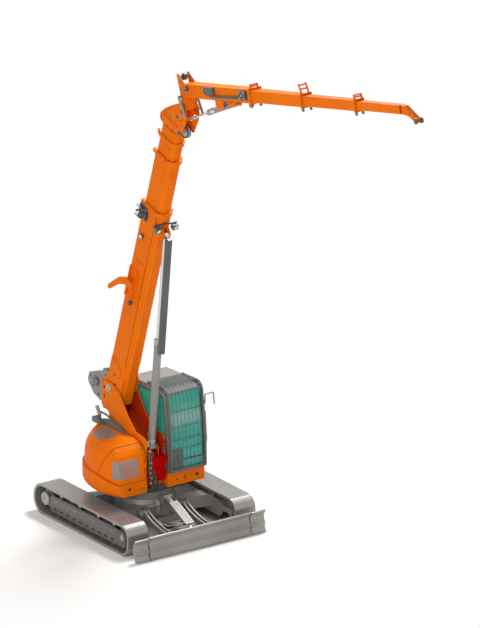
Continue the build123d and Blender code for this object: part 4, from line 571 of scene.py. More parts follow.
def make_pedestal():
    """Boom pedestal: two plates, the trough between them, the derrick's lugs and the pivot's caps."""
    steel, dark, caps = forms(3)
    for outline in CROSS_PLATES:
        steel.plate(outline, BOOM_Y - PLATE_OUTER + 0.001, BOOM_Y + PLATE_OUTER - 0.001)
    for _ in both_sides(PLATE_OUTER, steel, dark, caps, middle=BOOM_Y):
        steel.plate(PEDESTAL_OUTLINE, -PLATE_THICK, 0)
        steel.plate(DERRICK_LUG, LUG_FACE - 0.026, LUG_FACE)
        caps.cap((DERRICK_FOOT[0], LUG_FACE, DERRICK_FOOT[1]), 0.045, 0.018)
        caps.cap((PIVOT[0], 0, PIVOT[1]), 0.07, 0.02)
        for x, z, radius in PLATE_HOLES:
            dark.hole((x, 0, z), radius, 24, proud=0.0012)
        for x, z in ((-0.77, 2.33), (-0.63, 2.33), (-0.77, 2.49), (-0.63, 2.49)):
            caps.bolt((x, 0, z), 0.011)
    # the trough's inner faces take the painted shade
    repaint(steel.done("pedestal_body", ORANGE, "upper", 0.002, "pedestal"), TROUGH_SHADE, inside_trough)
    # the plates' holes in painted shade
    dark.done("pedestal_holes", SHADE, "upper")
    caps.done("pedestal_caps", PALE_GREY, "upper", 0.001)


def make_front_pipes():
    """Valve block, fittings and steel pipes between the hood and the red bracket."""
    block, pipes, pale = forms(3)
    block.box((0.50, 0.545), (-0.29, -0.06), (0.86, 1.36))
    block.box((0.50, 0.565), (-0.27, -0.17), (1.40, 1.52))
    block.box((0.50, 0.555), (0.02, 0.10), (1.44, 1.66))
    for z in (0.92, 1.02, 1.12, 1.22, 1.32):
        pale.fitting((0.545, -0.235, z), 0.019, 0.02, 0.012, 0.036, 14, FORWARD)
        pale.fitting((0.545, -0.13, z), 0.015, 0.018, 0.01, 0.03, 14, FORWARD)
    for n, y in enumerate((-0.285, -0.235, -0.185, -0.13)):
        top = 1.50 - 0.05 * n
        pipes.pipe([(0.51, y, top), (0.575, y, top), (0.58, y, 1.12), (0.575, y + 0.05, 0.95),
                    (0.56, y + 0.08, 0.78), (0.50, y + 0.08, 0.72)], 0.011)
    pipes.pipe([(0.52, 0.06, 1.52), (0.575, 0.06, 1.52), (0.58, 0.06, 1.25), (0.58, 0.095, 1.1)], 0.011)
    pale.box((0.40, 0.455), (-0.235, -0.215), (1.60, 1.70))
    pale.box((0.465, 0.545), (-0.245, -0.207), (1.41, 1.53))
    pale.box((0.50, 0.56), (-0.20, -0.165), (1.22, 1.36))
    pale.disc((0.515, -0.226, 1.46), 0.018, 0.04, 0.012, 14, FORWARD, 0.01)
    block.done("front_valves", VALVE_RED, "upper", 0.003)
    pipes.done("front_pipes", PIPE_GREEN, "upper")
    pale.done("front_fittings", PALE_FITTING, "upper", 0.001)


FACE_X = 0.587              # hood's front; the cab base's is BASE_PROUD before it
BASE_PROUD = 0.003
HOOD_HOLES = [(-0.734, 0.91, 0.030), (-0.457, 0.87, 0.016), (-0.395, 0.87, 0.008), (-0.80, 0.895, 0.008)]
BASE_HOLES = [(0.324, 0.88, 0.018), (0.636, 0.91, 0.026), (0.770, 0.90, 0.034)]
HOOD_SIDE = [(1.098, 1.10), (1.098, 1.34)] + arc_through((1.098, 1.34), (1.058, 1.545), (0.94, 1.72), 8)[1:]
HOOD_INNER = -0.372         # hood's side next to the boom
HOOD_TOP = 1.722
SEAM_RADIUS, SEAM_STEPS = 0.0045, 9


def on_hood(x, z):
    """Point on the hood's round side at x and z."""
    return (x, -math.sqrt(across_at(HOOD_SIDE, z) ** 2 - x * x), z)


def make_hood_trim():
    """Front skirts' tow holes and bolts, the hood's seams and latch, and the round cover by the boom."""
    dark, rings, cover = forms(3)
    for start, holes in ((FACE_X, HOOD_HOLES), (FACE_X + BASE_PROUD, BASE_HOLES)):
        for y, z, radius in holes:
            dark.hole((start, y, z), radius, 20, FORWARD, 0.006, 0.002)
    dark.box((FACE_X, FACE_X + 0.005), (0.492, 0.512), (0.855, 0.945))
    rings.turned((FACE_X + BASE_PROUD, 0.636, 0.91), [(0, 0.02), (0.004, 0.02)], 20, FORWARD)
    for y in (0.16, 0.40, 0.70, 0.90):
        rings.bolt((FACE_X + BASE_PROUD, y, 1.0), 0.009, FORWARD)
    shares = [n / SEAM_STEPS for n in range(SEAM_STEPS + 1)]
    dark_line = [on_hood(0.066 + 0.283 * share, 1.12 + 0.555 * share) for share in shares]
    corner = (0.352, HOOD_INNER, 1.686)
    dark.pipe(dark_line + [(0.352, dark_line[-1][1] + 0.06, 1.686), corner], SEAM_RADIUS, 0.03, 6)
    edge = [(x, HOOD_INNER, z) for x, z in ((0.43, 1.632), (0.535, 1.42), (0.556, 1.25), (0.578, 1.04))]
    dark.pipe([corner] + edge, SEAM_RADIUS, 0.03, 6)
    dark.hole(on_hood(-0.297, 1.319), 0.016, 16, (-0.27, -0.96, 0), 0.01, 0.004)
    # the holes in painted shade; the seam lines are dark joints
    dark.done("skirt_holes", SHADE, "upper")
    rings.done("skirt_bolts", ORANGE, "upper")
    cover.plate(arc_through((-0.98, HOOD_TOP), (-0.52, 1.835), (-0.07, HOOD_TOP), 14), -0.405, -0.325)
    rear = [(-0.97, HOOD_TOP), (-0.97, 1.82), (-0.86, 1.86), (-0.76, 1.80), (-0.72, HOOD_TOP)]
    cover.plate(rear, -0.50, -0.405)
    cover.pipe([(-0.9, -0.36, 1.8), (-0.9, -0.36, 1.9), (-0.7, -0.355, 1.9), (-0.4, -0.36, 1.8)], 0.02)
    cover.done("hose_cover_body", GUARD_GREY, "upper", 0.012, "hose_cover")


# Cab

GUARD_FRONT = [(0.665, 1.06), (0.660, 1.50), (0.635, 1.90), (0.551, 2.50), (0.523, 2.58), (0.44, 2.655)]
GUARD_LOW, GUARD_HIGH = 0.135, 0.935        # the guard's two sides, in y
GUARD_LINES, ROOF_LINES = 9, 9
ROD_RADIUS, ROOF_ROD_RADIUS = 0.0065, 0.0085
CROSS_HEIGHTS = (1.49, 1.66, 1.90, 2.20)


def make_guard():
    """Cab guard: a frame of flat bar, thin rods before the windscreen and over the roof window."""
    bars, rods = forms(2)
    for y in (GUARD_LOW, GUARD_HIGH - 0.035):
        reflection_band = [(x + 0.006, z) for x, z in GUARD_FRONT] + [(x - 0.03, z) for x, z in reversed(GUARD_FRONT)]
        bars.plate(reflection_band, y, y + 0.035)
        bars.plate([(-0.10, 2.60), (-0.10, 2.645), (0.40, 2.67), (0.45, 2.655), (0.41, 2.62), (0.38, 2.60)],
                   y, y + 0.022)
    for z, deep in ((1.08, 0.05), (2.555, 0.035)):
        x = across_at(GUARD_FRONT, z)
        bars.box((x - 0.024, x - 0.002), (GUARD_LOW, GUARD_HIGH), (z - deep / 2, z + deep / 2))
        for y in (GUARD_LOW, GUARD_HIGH - 0.03):
            bars.box((x - 0.06, x - 0.01), (y, y + 0.03), (z - 0.014, z + 0.014))
    for n in range(1, GUARD_LINES):
        y = GUARD_LOW + 0.02 + n * (GUARD_HIGH - GUARD_LOW - 0.04) / GUARD_LINES
        rods.pipe([(x - 0.012, y, z) for x, z in GUARD_FRONT], ROD_RADIUS, 0.06, 8)
    cross = [(across_at(GUARD_FRONT, z) - 0.024, z, ROD_RADIUS) for z in CROSS_HEIGHTS]
    cross += [(-0.06 + n * 0.055, 2.64 + 0.028 * n / ROOF_LINES, ROOF_ROD_RADIUS)
              for n in range(ROOF_LINES)]
    for x, z, radius in cross:
        rods.pipe([(x, GUARD_LOW + 0.01, z), (x, GUARD_HIGH - 0.01, z)], radius, 0.06, 8)
    bars.plate([(0.625, 1.10), (0.63, 1.10), (0.627, 1.475), (0.622, 1.475)], GUARD_LOW + 0.01, 0.425)
    bars.done("guard_frame", GUARD_GREY, "upper", 0.002, "cab_guard")
    rods.done("guard_rods", GUARD_GREY, "upper", slot="dark_steel")


CAB_RIGHT, CAB_LEFT = 0.124, 0.946          # faces of the side windows
SILL = 1.50
QUARTER_PANE = [(-0.76, SILL), (-0.76, 2.33), (-0.64, 2.49)]
RIGHT_PANE = QUARTER_PANE + [(0.42, 2.49), (0.505, 1.90), (0.53, 1.30), (0.10, 1.30), (-0.06, SILL)]
LEFT_PANE = QUARTER_PANE + [(-0.40, 2.49), (-0.40, SILL)]
DOOR_PANE = [(-0.26, SILL), (-0.26, 2.43), (0.37, 2.43), (0.455, 1.88), (0.478, SILL)]
SCREEN_EDGE = [(0.620, 1.26), (0.616, SILL), (0.591, 1.90), (0.503, 2.538)]
SCREEN_SIDES = (0.182, 0.888)


def make_cab_trim():
    """Windscreen's upper strip, the visor over it, rubber seals and the door's handle."""
    strip, visor, seal, steel = forms(4)
    strip.plate([(0.5115, 2.462), (0.5015, 2.535), (0.5055, 2.536), (0.5155, 2.462)], 0.18, 0.89)
    strip.done("windscreen_strip", SCREEN, "upper")
    visor.plate([(0.5025, 2.536), (0.502, 2.547), (0.421, 2.598), (-0.06, 2.6035), (-0.06, 2.6065),
                 (0.422, 2.602), (0.507, 2.549), (0.508, 2.536)], 0.14, 0.93)
    visor.done("roof_visor", GUARD_GREY, "upper")
    for y in SCREEN_SIDES:
        seal.pipe([(x, y, z) for x, z in SCREEN_EDGE], 0.008, 0.05, 8)
    for x, z in (SCREEN_EDGE[0], SCREEN_EDGE[-1]):
        seal.pipe([(x, y, z) for y in SCREEN_SIDES], 0.008, 0.05, 8)
    seal.done("cab_seals", RUBBER, "upper")
    for pane, y, body, name in ((RIGHT_PANE, CAB_RIGHT, "upper", "side_seal_right"),
                                (LEFT_PANE, CAB_LEFT, "upper", "side_seal_left"),
                                (DOOR_PANE, CAB_LEFT, "door", "door_seal")):
        gasket = Form()
        gasket.pipe([(x, y, z) for x, z in pane + pane[:1]], 0.007, 0.05, 8)
        gasket.done(name, RUBBER, body)
    handle = ((0.30, 0.952), (0.30, 0.985), (0.40, 0.985), (0.40, 0.952))
    steel.pipe([(x, y, 1.44) for x, y in handle], 0.009, 0.02)
    steel.disc((0.42, 0.948, 1.36), 0.02, 0.01, 0.014, 16)
    steel.done("door_handle", DARK, "door", 0.001)


PAD_RINGS, PAD_AROUND = 17, 40


def squared(value, power):
    """Sine or cosine drawn towards a square's side, its sign kept."""
    return math.copysign(abs(value) ** power, value)


def pad(name, centre, lean, size):
    """Upholstered pad: a closed crowned form that leans by an angle, its edges drawn in all round."""
    form = Form(BASE @ Matrix.Translation(centre) @ Matrix.Rotation(lean, 4, "Y"))
    rings = []
    for i in range(PAD_RINGS):
        height = math.sin(math.pi * (i / (PAD_RINGS - 1) - 0.5))
        reach = max(0.02, (1 - abs(height) ** 3.2)) ** 0.30
        ring = []
        for c, s in circle(1, PAD_AROUND):
            x, y = squared(c, 0.42) * reach, squared(s, 0.42) * reach
            crown = 1.0 - 0.12 * (x * x + y * y)
            ring.append((x * size[0] / 2, y * size[1] / 2, squared(height, 0.55) * crown * size[2] / 2))
        rings.append(ring)
    form.skin(rings)
    piece = form.done(name, CLOTH, "upper", crease=None)
    return piece


BACK_LEAN = math.pi / 2 - 0.19


def make_seat():
    """Seat cushion, back and headrest, with lever boots, knobs and the monitor before them."""
    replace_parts(pad("seat_cushion", (-0.30, 0.52, 1.452), 0.03, (0.50, 0.48, 0.13)), "cab_seat")
    pad("seat_back", (-0.572, 0.52, 1.80), BACK_LEAN, (0.58, 0.46, 0.11))
    pad("seat_headrest", (-0.630, 0.52, 2.09), BACK_LEAN, (0.09, 0.24, 0.08))
    shell, boots = forms(2)
    shell.plate([(-0.56, 1.50), (-0.69, 2.12), (-0.67, 2.125), (-0.61, 1.83), (-0.54, 1.50)], 0.30, 0.74)
    shell.box((0.33, 0.39), (0.20, 0.36), (1.36, 1.58))
    shell.box((0.35, 0.37), (0.26, 0.30), (1.08, 1.38))
    boot = [(0, 0.04), (0.012, 0.036), (0.018, 0.04), (0.03, 0.030), (0.036, 0.033), (0.05, 0.022),
            (0.056, 0.025), (0.075, 0.014)]
    for place in ((-0.08, 0.21, 1.62), (-0.08, 0.84, 1.62), (0.38, 0.48, 1.13), (0.38, 0.58, 1.13)):
        boots.turned(place, boot, 20, UP)
    for y in (0.21, 0.84):
        boots.turned((-0.08, y, 1.86), [(0, 0.024), (0.012, 0.023), (0.022, 0.016), (0.026, 0.006)], 20, UP)
    shell.done("seat_shell", DARK, "upper", 0.004)
    boots.done("lever_boots", RUBBER, "upper")


# Boom

BOOM_SIZES = [(0.330, 0.500, 0.076), (0.298, 0.464, 0.070), (0.266, 0.428, 0.064)]     # width, depth, bevel
BOOM_UPPER = 0.134
SECTION_STEP = 0.018
COLLARS = [("boom", 0, 4.08, 4.15), ("section_2", 1, 5.23, 5.30)]      # body, section, start and end
COLLAR_PROUD = 0.026
# start, end and radius of the painted shade lines along the boom's creases
SHADE_LINE_START, SHADE_LINE_END, SHADE_LINE_RADIUS = 0.62, 4.08, 0.0055
HEAD_PLATE = [(5.86, 0.052), (5.90, 0.06), (5.95, 0.195), (6.06, 0.215), (6.21, 0.12), (6.40, -0.06),
              (6.60, -0.33), (6.60, -0.44), (6.48, -0.52), (6.30, -0.54), (6.08, -0.50), (5.905, -0.335)]
HEAD_COVER = [(5.955, 0.175), (5.955, 0.199), (6.062, 0.219), (6.213, 0.124), (6.405, -0.06),
              (6.39, -0.072), (6.20, 0.108), (6.056, 0.20)]
HEAD_CORE = [(5.88, -0.30), (5.90, 0.08), (6.15, 0.09), (6.32, -0.08), (6.30, -0.24), (6.16, -0.28)]
HEAD_RIBS = (               # outline and height of the flanges on the head plates
    ([(6.07, 0.16), (6.105, 0.15), (6.10, -0.34), (6.065, -0.34)], 0.014),
    ([(5.875, 0.04), (5.90, 0.05), (5.925, -0.33), (5.90, -0.33)], 0.012),
    ([(6.42, -0.12), (6.44, -0.11), (6.585, -0.33), (6.565, -0.34)], 0.012),
)
HEAD_SHADES = (             # painted shade lines beside them
    [(6.05, 0.13), (6.062, 0.13), (6.057, -0.33), (6.045, -0.33)],
    [(5.912, 0.05), (5.922, 0.05), (5.945, -0.33), (5.935, -0.33)],
    [(6.16, 0.10), (6.168, 0.105), (6.40, -0.10), (6.392, -0.105)],
)
HEAD_BOLTS = ((5.96, 0.13), (6.03, 0.17), (5.95, -0.06), (5.96, -0.22), (6.16, 0.04), (6.16, -0.1),
              (6.17, -0.26), (6.30, -0.42), (6.2, -0.46))
HEAD_HALF, HEAD_THICK = 0.133, 0.018
JIB_PIN = (6.49, -0.414)
ROD_EYE = (6.345, -0.478)
HEAD_SHEAVE = (6.02, -0.43)


def boom_outline(index, grow=0.0):
    """Six-sided outline of a boom section in y and w, its lower corners bevelled, grown all round."""
    width, depth, bevel = BOOM_SIZES[index]
    top = BOOM_UPPER - index * SECTION_STEP
    half, high, low = width / 2 + grow, top + grow, top - depth - grow
    cut = bevel + 0.586 * grow
    return [(half, high), (-half, high), (-half, low + cut), (-half + cut, low),
            (half - cut, low), (half, low + cut)]


def make_boom_head():
    """Third section with its ring, the head's plates, cover, pins and flanges, and the sheave's faces."""
    steel, caps, lines, wheel, hub = forms(5, BOOM)
    steel.prism(boom_outline(2), 1.8, 5.90)
    steel.prism(boom_outline(2, 0.007), 1.8, 1.87)
    steel.prism(boom_outline(2, 0.024), 5.61, 5.69)
    steel.plate(HEAD_COVER, -HEAD_HALF, HEAD_HALF)
    steel.plate(HEAD_CORE, -0.11, 0.11)
    for _ in both_sides(HEAD_HALF, steel, caps, lines):
        steel.plate(HEAD_PLATE, 0, HEAD_THICK)
        for outline, height in HEAD_RIBS:
            steel.plate(outline, HEAD_THICK, HEAD_THICK + height)
        for outline in HEAD_SHADES:
            lines.plate(outline, HEAD_THICK, HEAD_THICK + 0.0012)
        steel.plate([(5.62, 0.10), (5.69, 0.10), (5.74, 0.16), (5.72, 0.19), (5.63, 0.17)], 0, HEAD_THICK)
        steel.disc((JIB_PIN[0], 0, JIB_PIN[1]), 0.065, 0.03, 0.06, 28)
        caps.cap((JIB_PIN[0], HEAD_THICK + 0.018, JIB_PIN[1]), 0.05, 0.02)
        caps.cap((HEAD_SHEAVE[0], HEAD_THICK, HEAD_SHEAVE[1]), 0.045, 0.02)
        steel.turned((ROD_EYE[0], 0.036 - HEAD_HALF, ROD_EYE[1]), [(0, 0.026), (0.127, 0.026)])
        for s, w in HEAD_BOLTS:
            caps.bolt((s, HEAD_THICK, w))
        caps.disc((6.29, HEAD_THICK, -0.28), 0.035, 0.012, 0.028)
    # painted shade lines beside the head's flanges
    lines.done("head_shade_lines", SHADE_ORANGE, "section_3")
    steel.done("boom_head", ORANGE, "section_3", 0.003, "boom_section_3")
    caps.done("boom_head_pins", DARK, "section_3", 0.001)
    rim = [(0.01, 0.1), (0.026, 0.116), (0.034, 0.116), (0.034, 0.085)]
    wheel.turned((HEAD_SHEAVE[0], 0, HEAD_SHEAVE[1]), [(-y, r) for y, r in reversed(rim)] + rim, 40)
    for _ in both_sides(0.03, hub):
        hub.turned((HEAD_SHEAVE[0], 0, HEAD_SHEAVE[1]),
                   [(0, 0.088), (0.005, 0.088), (0.006, 0.05), (0.014, 0.05), (0.016, 0.03)], 32)
    wheel.done("sheave_rim", RUBBER, "head_sheave", 0.001)
    hub.done("sheave_web", PALE_GREY, "head_sheave", 0.001)


def make_boom_shade_lines():
    """Painted shade lines where the base section's sides meet its bevels, and painted highlights where the bevels
    meet its underside.
    """
    dark_line, edge = forms(2, BOOM)
    corners = boom_outline(0)
    for form, chosen, radius in ((dark_line, (2, 5), SHADE_LINE_RADIUS), (edge, (3, 4), 0.8 * SHADE_LINE_RADIUS)):
        for y, w in (corners[n] for n in chosen):
            form.pipe([(SHADE_LINE_START, y, w), (SHADE_LINE_END, y, w)], radius, 0.03, 8)
    dark_line.done("boom_welds", SHADE_ORANGE, "boom")
    # painted highlights where the bevels meet the underside
    edge.done("boom_edges", HIGHLIGHT_ORANGE, "boom")


FOOT_HOLES = ((0.326, -0.053, 0.02), (0.156, -0.129, 0.02), (0.35, -0.20, 0.016), (0.02, 0.14, 0.016))
LAMP_AXIS = (-0.15, 0, -1)


def make_boom_trim():
    """Collar bolts and pads, the foot's bolt holes, lamp lenses and the pipes along the boom."""
    for body, index, start, end in COLLARS:
        bolts, pads = forms(2, BOOM)
        width, depth, _ = BOOM_SIZES[index]
        half, top, middle = width / 2 + COLLAR_PROUD, BOOM_UPPER - index * SECTION_STEP, (start + end) / 2
        for y in (-0.09, 0.0, 0.09):
            bolts.bolt((middle, y, top + COLLAR_PROUD), axis=UP)
        for _ in both_sides(half, bolts, pads):
            for w in (top - 0.06, top - 0.2, top - 0.34):
                bolts.bolt((middle, 0, w))
            pads.box((end - 0.003, end + 0.012), (0.09 - half, -0.03),
                     (top - depth + 0.055, top - depth + 0.075))
        bolts.done("collar_bolts_" + body, DARK, body)
        pads.done("collar_pads_" + body, COVER_GREY, body, 0.002)
    holes, rims, lens, pipes, clamps = forms(5, BOOM)
    for _ in both_sides(0.177, holes):
        for s, w, radius in FOOT_HOLES:
            holes.hole((s, 0, w), radius)
    for y in (-0.19, 0.19):
        rims.disc((3.855, y, -0.468), 0.052, 0.016, 0.044, 28, LAMP_AXIS, 0.001)
        lens.turned((3.855, y, -0.470), [(0, 0.044), (0.012, 0.044), (0.018, 0.03), (0.02, 0.01)], 28,
                    LAMP_AXIS)
    half = BOOM_SIZES[0][0] / 2
    right, left, inwards = -half, half, (0, -1, 0)
    rims.turned((3.438, right - 0.04, -0.014), [(-0.03, 0.052), (0.004, 0.052), (0.005, 0.04)], 28, inwards)
    lens.turned((3.438, right - 0.04, -0.014), [(0, 0.04), (0.006, 0.036), (0.009, 0.02)], 28, inwards)
    for n, w in enumerate((-0.10, -0.14, -0.18)):
        end = 3.70 - 0.3 * n
        course = ((0.72, w), (end, w), (end + 0.06, w - 0.05))
        pipes.pipe([(s, left + 0.014, height) for s, height in course], 0.010, 0.04)
    for s in (0.95, 1.65, 2.35, 3.0):
        clamps.box((s, s + 0.03), (left, left + 0.026), (-0.20, -0.08))
        for w in (-0.12, -0.16):
            clamps.bolt((s + 0.015, left + 0.026, w), 0.008)
    for s in (3.79, 3.90, 4.01):
        for w in (0.0, 0.16):
            rims.bolt((s, right - 0.014, w), 0.010, inwards)
    horn = [(0, 0.05), (0.03, 0.05), (0.04, 0.04), (0.07, 0.04), (0.075, 0.03)]
    rims.turned((3.87, right - 0.014, 0.08), horn, 24, inwards)
    rims.box((3.82, 3.96), (right - 0.06, right - 0.014), (-0.045, -0.005))
    # the foot's bolt holes in painted shade
    holes.done("boom_foot_holes", SHADE, "boom")
    rims.done("lamp_rims", DARK, "boom", 0.001)
    lens.done("lamp_lenses", LAMP, "boom", 0.001)
    pipes.done("boom_pipes", PALE_GREY, "boom")
    clamps.done("boom_pipe_clamps", DARK, "boom", 0.001)


WINCH = (-0.15, 0.43)
WINCH_PLATE = [(-0.12, 0.10), (-0.44, 0.205), (-0.43, 0.45), (-0.32, 0.65), (-0.25, 0.695), (-0.11, 0.69),
               (0.10, 0.42), (0.20, 0.27), (0.26, 0.134), (0.10, 0.134), (0.10, 0.10)]
WINCH_INNER, WINCH_THICK = 0.150, 0.014
WINCH_HOLES = ((-0.36, 0.30, 0.03), (-0.29, 0.50, 0.022), (0.02, 0.24, 0.03), (-0.16, 0.63, 0.02),
               (0.13, 0.22, 0.014))
DRUM_HALF, DRUM_FLOOR, DRUM_CREST, DRUM_TURNS = 0.118, 0.107, 0.110, 22


def make_winch():
    """Winch plates with holes and bolts, its motor cover and the drum's grooves."""
    plates, dark, motor, drum = forms(4, BOOM)
    for _ in both_sides(WINCH_INNER, plates, dark, motor):
        plates.plate(WINCH_PLATE, 0, WINCH_THICK)
        plates.disc((WINCH[0], 0, WINCH[1]), 0.04, 0.03, 0.034, 24)
        for s, w in circle(0.10, 8):
            motor.bolt((WINCH[0] + s, WINCH_THICK, WINCH[1] + w), 0.011)
        motor.disc((WINCH[0], WINCH_THICK, WINCH[1]), 0.075, 0.012, 0.068, 28)
        for s, w, radius in WINCH_HOLES:
            dark.hole((s, WINCH_THICK, w), radius, 24)
    for s, w in (((0.15, 0.20), (BOOM_UPPER, 0.16)), ((-0.40, -0.37), (0.22, 0.30))):
        plates.box(s, (-WINCH_INNER, WINCH_INNER), w)
    groove = [(-0.12, DRUM_FLOOR)]
    for n in range(DRUM_TURNS):
        at = -DRUM_HALF + 2 * DRUM_HALF * n / DRUM_TURNS
        groove += [(at + 0.001, DRUM_FLOOR), (at + 0.0045, DRUM_CREST), (at + 0.008, DRUM_FLOOR)]
    drum.turned((WINCH[0], 0, WINCH[1]), groove + [(0.12, DRUM_FLOOR)], 40)
    plates.done("winch_plates", WINCH_GREY, "boom", 0.002, "winch_frame")
    motor.done("winch_cover", DARK, "boom", 0.001)
    # the plates' holes in painted shade
    dark.done("winch_holes", SHADE, "boom")
    drum.done("drum_grooves", DARK, "winch_drum")


def make_cylinder_trim():
    """Gland nuts, port blocks and steel pipes of the derrick cylinder, caps of the blade's and jib's."""
    gland, pipe = forms(2, DERRICK)
    middle = (0, 0, 0)
    for profile in ([(2.10, 0.0745), (2.12, 0.078), (2.185, 0.078), (2.198, 0.070), (2.2, 0.05)],
                    [(0.10, 0.0735), (0.11, 0.076), (0.15, 0.076), (0.16, 0.0735)]):
        gland.turned(middle, profile, 32, FORWARD)
    gland.box((0.16, 0.25), (-0.03, 0.03), (0.066, 0.10))
    gland.box((2.02, 2.08), (-0.025, 0.025), (0.066, 0.092))
    pipe.pipe([(0.22, 0, 0.09), (0.34, 0, 0.09), (2.05, 0, 0.088)], 0.010, 0.03)
    gland.done("derrick_gland", PALE_GREY, "derrick_barrel", 0.001)
    pipe.done("derrick_pipe", PALE_GREY, "derrick_barrel")

    eye = JIB_CYLINDER.inverted() @ BOOM @ Vector((ROD_EYE[0], 0, ROD_EYE[1]))
    reach = math.hypot(eye.x, eye.z)
    sleeve, clevis, label = forms(3, JIB_CYLINDER)
    clevis.turned(middle, [(reach - 0.18, 0.030), (reach - 0.17, 0.042), (reach - 0.045, 0.042),
                           (reach - 0.03, 0.034)], 28, FORWARD)
    for profile in ([(0.90, 0.047), (0.91, 0.053), (0.99, 0.053), (1.0, 0.046)],
                    [(0.05, 0.047), (0.06, 0.050), (0.10, 0.050), (0.11, 0.047)]):
        sleeve.turned(middle, profile, 28, FORWARD)
    sleeve.pipe([(0.14, -0.03, -0.05), (0.16, -0.035, -0.058), (0.90, -0.035, -0.058)], 0.008)
    for edge in (0.80, 0.93):
        sleeve.box((edge - 0.02, edge), (-0.058, -0.02), (-0.06, -0.035))
    label.box((0.72, 0.86), (-0.0495, -0.043), (-0.022, 0.022))
    clevis.done("jib_rod_clevis", PALE_GREY, "jib_rod", 0.001)
    sleeve.done("jib_cylinder_gland", PALE_GREY, "jib_barrel", 0.001)
    label.done("jib_cylinder_plate", LAMP, "jib_barrel", 0.001)

    blade_cap = Form(BLADE_CYLINDER)
    blade_cap.turned(middle, [(0.47, 0.0605), (0.48, 0.064), (0.55, 0.064), (0.559, 0.056)], 32, FORWARD)
    blade_cap.done("blade_cylinder_gland", PALE_GREY, "blade_barrel", 0.001)


# Fly jib

# body, width, depth, collar's start and end
JIB_SIZES = [("jib", 0.240, 0.250, 2.20, 2.25), ("jib_2", 0.210, 0.220, 3.85, 3.90),
             ("jib_3", 0.180, 0.190, 5.55, 5.60)]
JIB_MIDDLE = 0.390
JIB_UNDER = 0.268           # w of the base section's lower face
JIB_SIDE = -0.12            # y of its right side, where the valves sit
VALVE_FACE = JIB @ outwards(-JIB_SIDE, -1)
JIB_HEEL = [(-0.03, 0.02), (0.05, 0.02), (0.11, 0.265), (-0.03, 0.32)]
CYLINDER_LUG = [(1.28, JIB_UNDER), (1.40, JIB_UNDER), (1.62, JIB_UNDER), (1.66, 0.20), (1.60, 0.15),
                (1.48, 0.15), (1.38, 0.22)]
JIB_GUSSET = [(1.00, JIB_UNDER), (1.28, JIB_UNDER), (1.25, 0.12), (1.20, 0.09), (1.05, 0.09), (1.01, 0.13)]


def make_jib_trim():
    """Filled jib foot, gussets, valve groups and their pipes, collar bolts and lugs."""
    steel, grey, dark, pale = forms(4, JIB)
    steel.plate(JIB_HEEL, -0.10, 0.10)
    for _ in both_sides(0.068, steel, dark, grey):
        steel.plate(CYLINDER_LUG, -0.008, 0.007)
        steel.plate(JIB_GUSSET, 0, 0.014)
        dark.box((1.30, 1.52), (0, 0.02), (0.225, JIB_UNDER))
        for s, w in ((-0.02, 0.55), (0.06, 0.45), (0.07, 0.33), (-0.03, 0.40)):
            grey.bolt((s, 0.064, w))
    grey.box((-0.07, -0.045), (-0.07, 0.07), (0.56, 0.66))
    grey.turned((-0.045, -0.1, 0.62), [(0, 0.032), (0.2, 0.032)])
    dark.place = pale.place = VALVE_FACE
    dark.disc((0.22, 0.057, 0.43), 0.03, 0.02, 0.02)
    for s in (0.82, 0.89, 0.96, 1.03, 1.08):
        for w in (0.405, 0.445, 0.485):
            chosen = pale if (round(100 * s) + round(1000 * w)) % 3 == 0 else dark
            chosen.fitting((s, 0.035, w), 0.016, 0.016, 0.009, 0.032, 12)
    dark.place = own_frame("jib_luff", "jib_2_slide", 0)
    side = BOOM_Y + JIB_SIDE
    for n in range(4):
        s, w = 0.80 + 0.07 * n, 0.375 - 0.012 * n
        dark.pipe([(s, side - 0.03, 0.40), (s, side - 0.045, w - 0.01), (1.30, side - 0.02, w - 0.02),
                   (1.93, side - 0.02, w)], 0.007, 0.03, 8)
    dark.place = VALVE_FACE
    for s in (1.96, 2.03, 2.10):
        for w in (0.36, 0.41, 0.46):
            chosen = pale if (round(100 * s) + round(100 * w)) % 2 == 0 else dark
            chosen.fitting((s, 0.035, w), 0.018, 0.018, 0.01, 0.034, 12)
    steel.done("jib_foot_plates", ORANGE, "jib", 0.002)
    grey.done("jib_mast_fittings", GREY, "jib", 0.001)
    dark.done("jib_valves", DARK, "jib", 0.001)
    pale.done("jib_fitting_caps", PALE_GREY, "jib", 0.001)
    for body, width, depth, start, end in JIB_SIZES:
        bolts, lugs = forms(2, JIB)
        for _ in both_sides(width / 2 + 0.016, bolts, lugs):
            for w in (JIB_MIDDLE - depth / 4, JIB_MIDDLE + depth / 4):
                bolts.bolt(((start + end) / 2, 0, w), 0.008)
            lugs.box((start - 0.01, end - 0.01), (-0.05, -0.02),
                     (JIB_MIDDLE - depth / 2 - 0.085, JIB_MIDDLE - depth / 2 - 0.012))
        bolts.done("jib_collar_bolts_" + body, DARK, body)
        lugs.done("jib_lugs_" + body, COVER_GREY, body, 0.003)


for make in (make_undercarriage, make_blade, make_pedestal, make_front_pipes, make_hood_trim, make_guard,
             make_cab_trim, make_seat, make_boom_head, make_boom_shade_lines, make_boom_trim, make_winch,
             make_cylinder_trim, make_jib_trim):
    make()


# Floor, light and camera

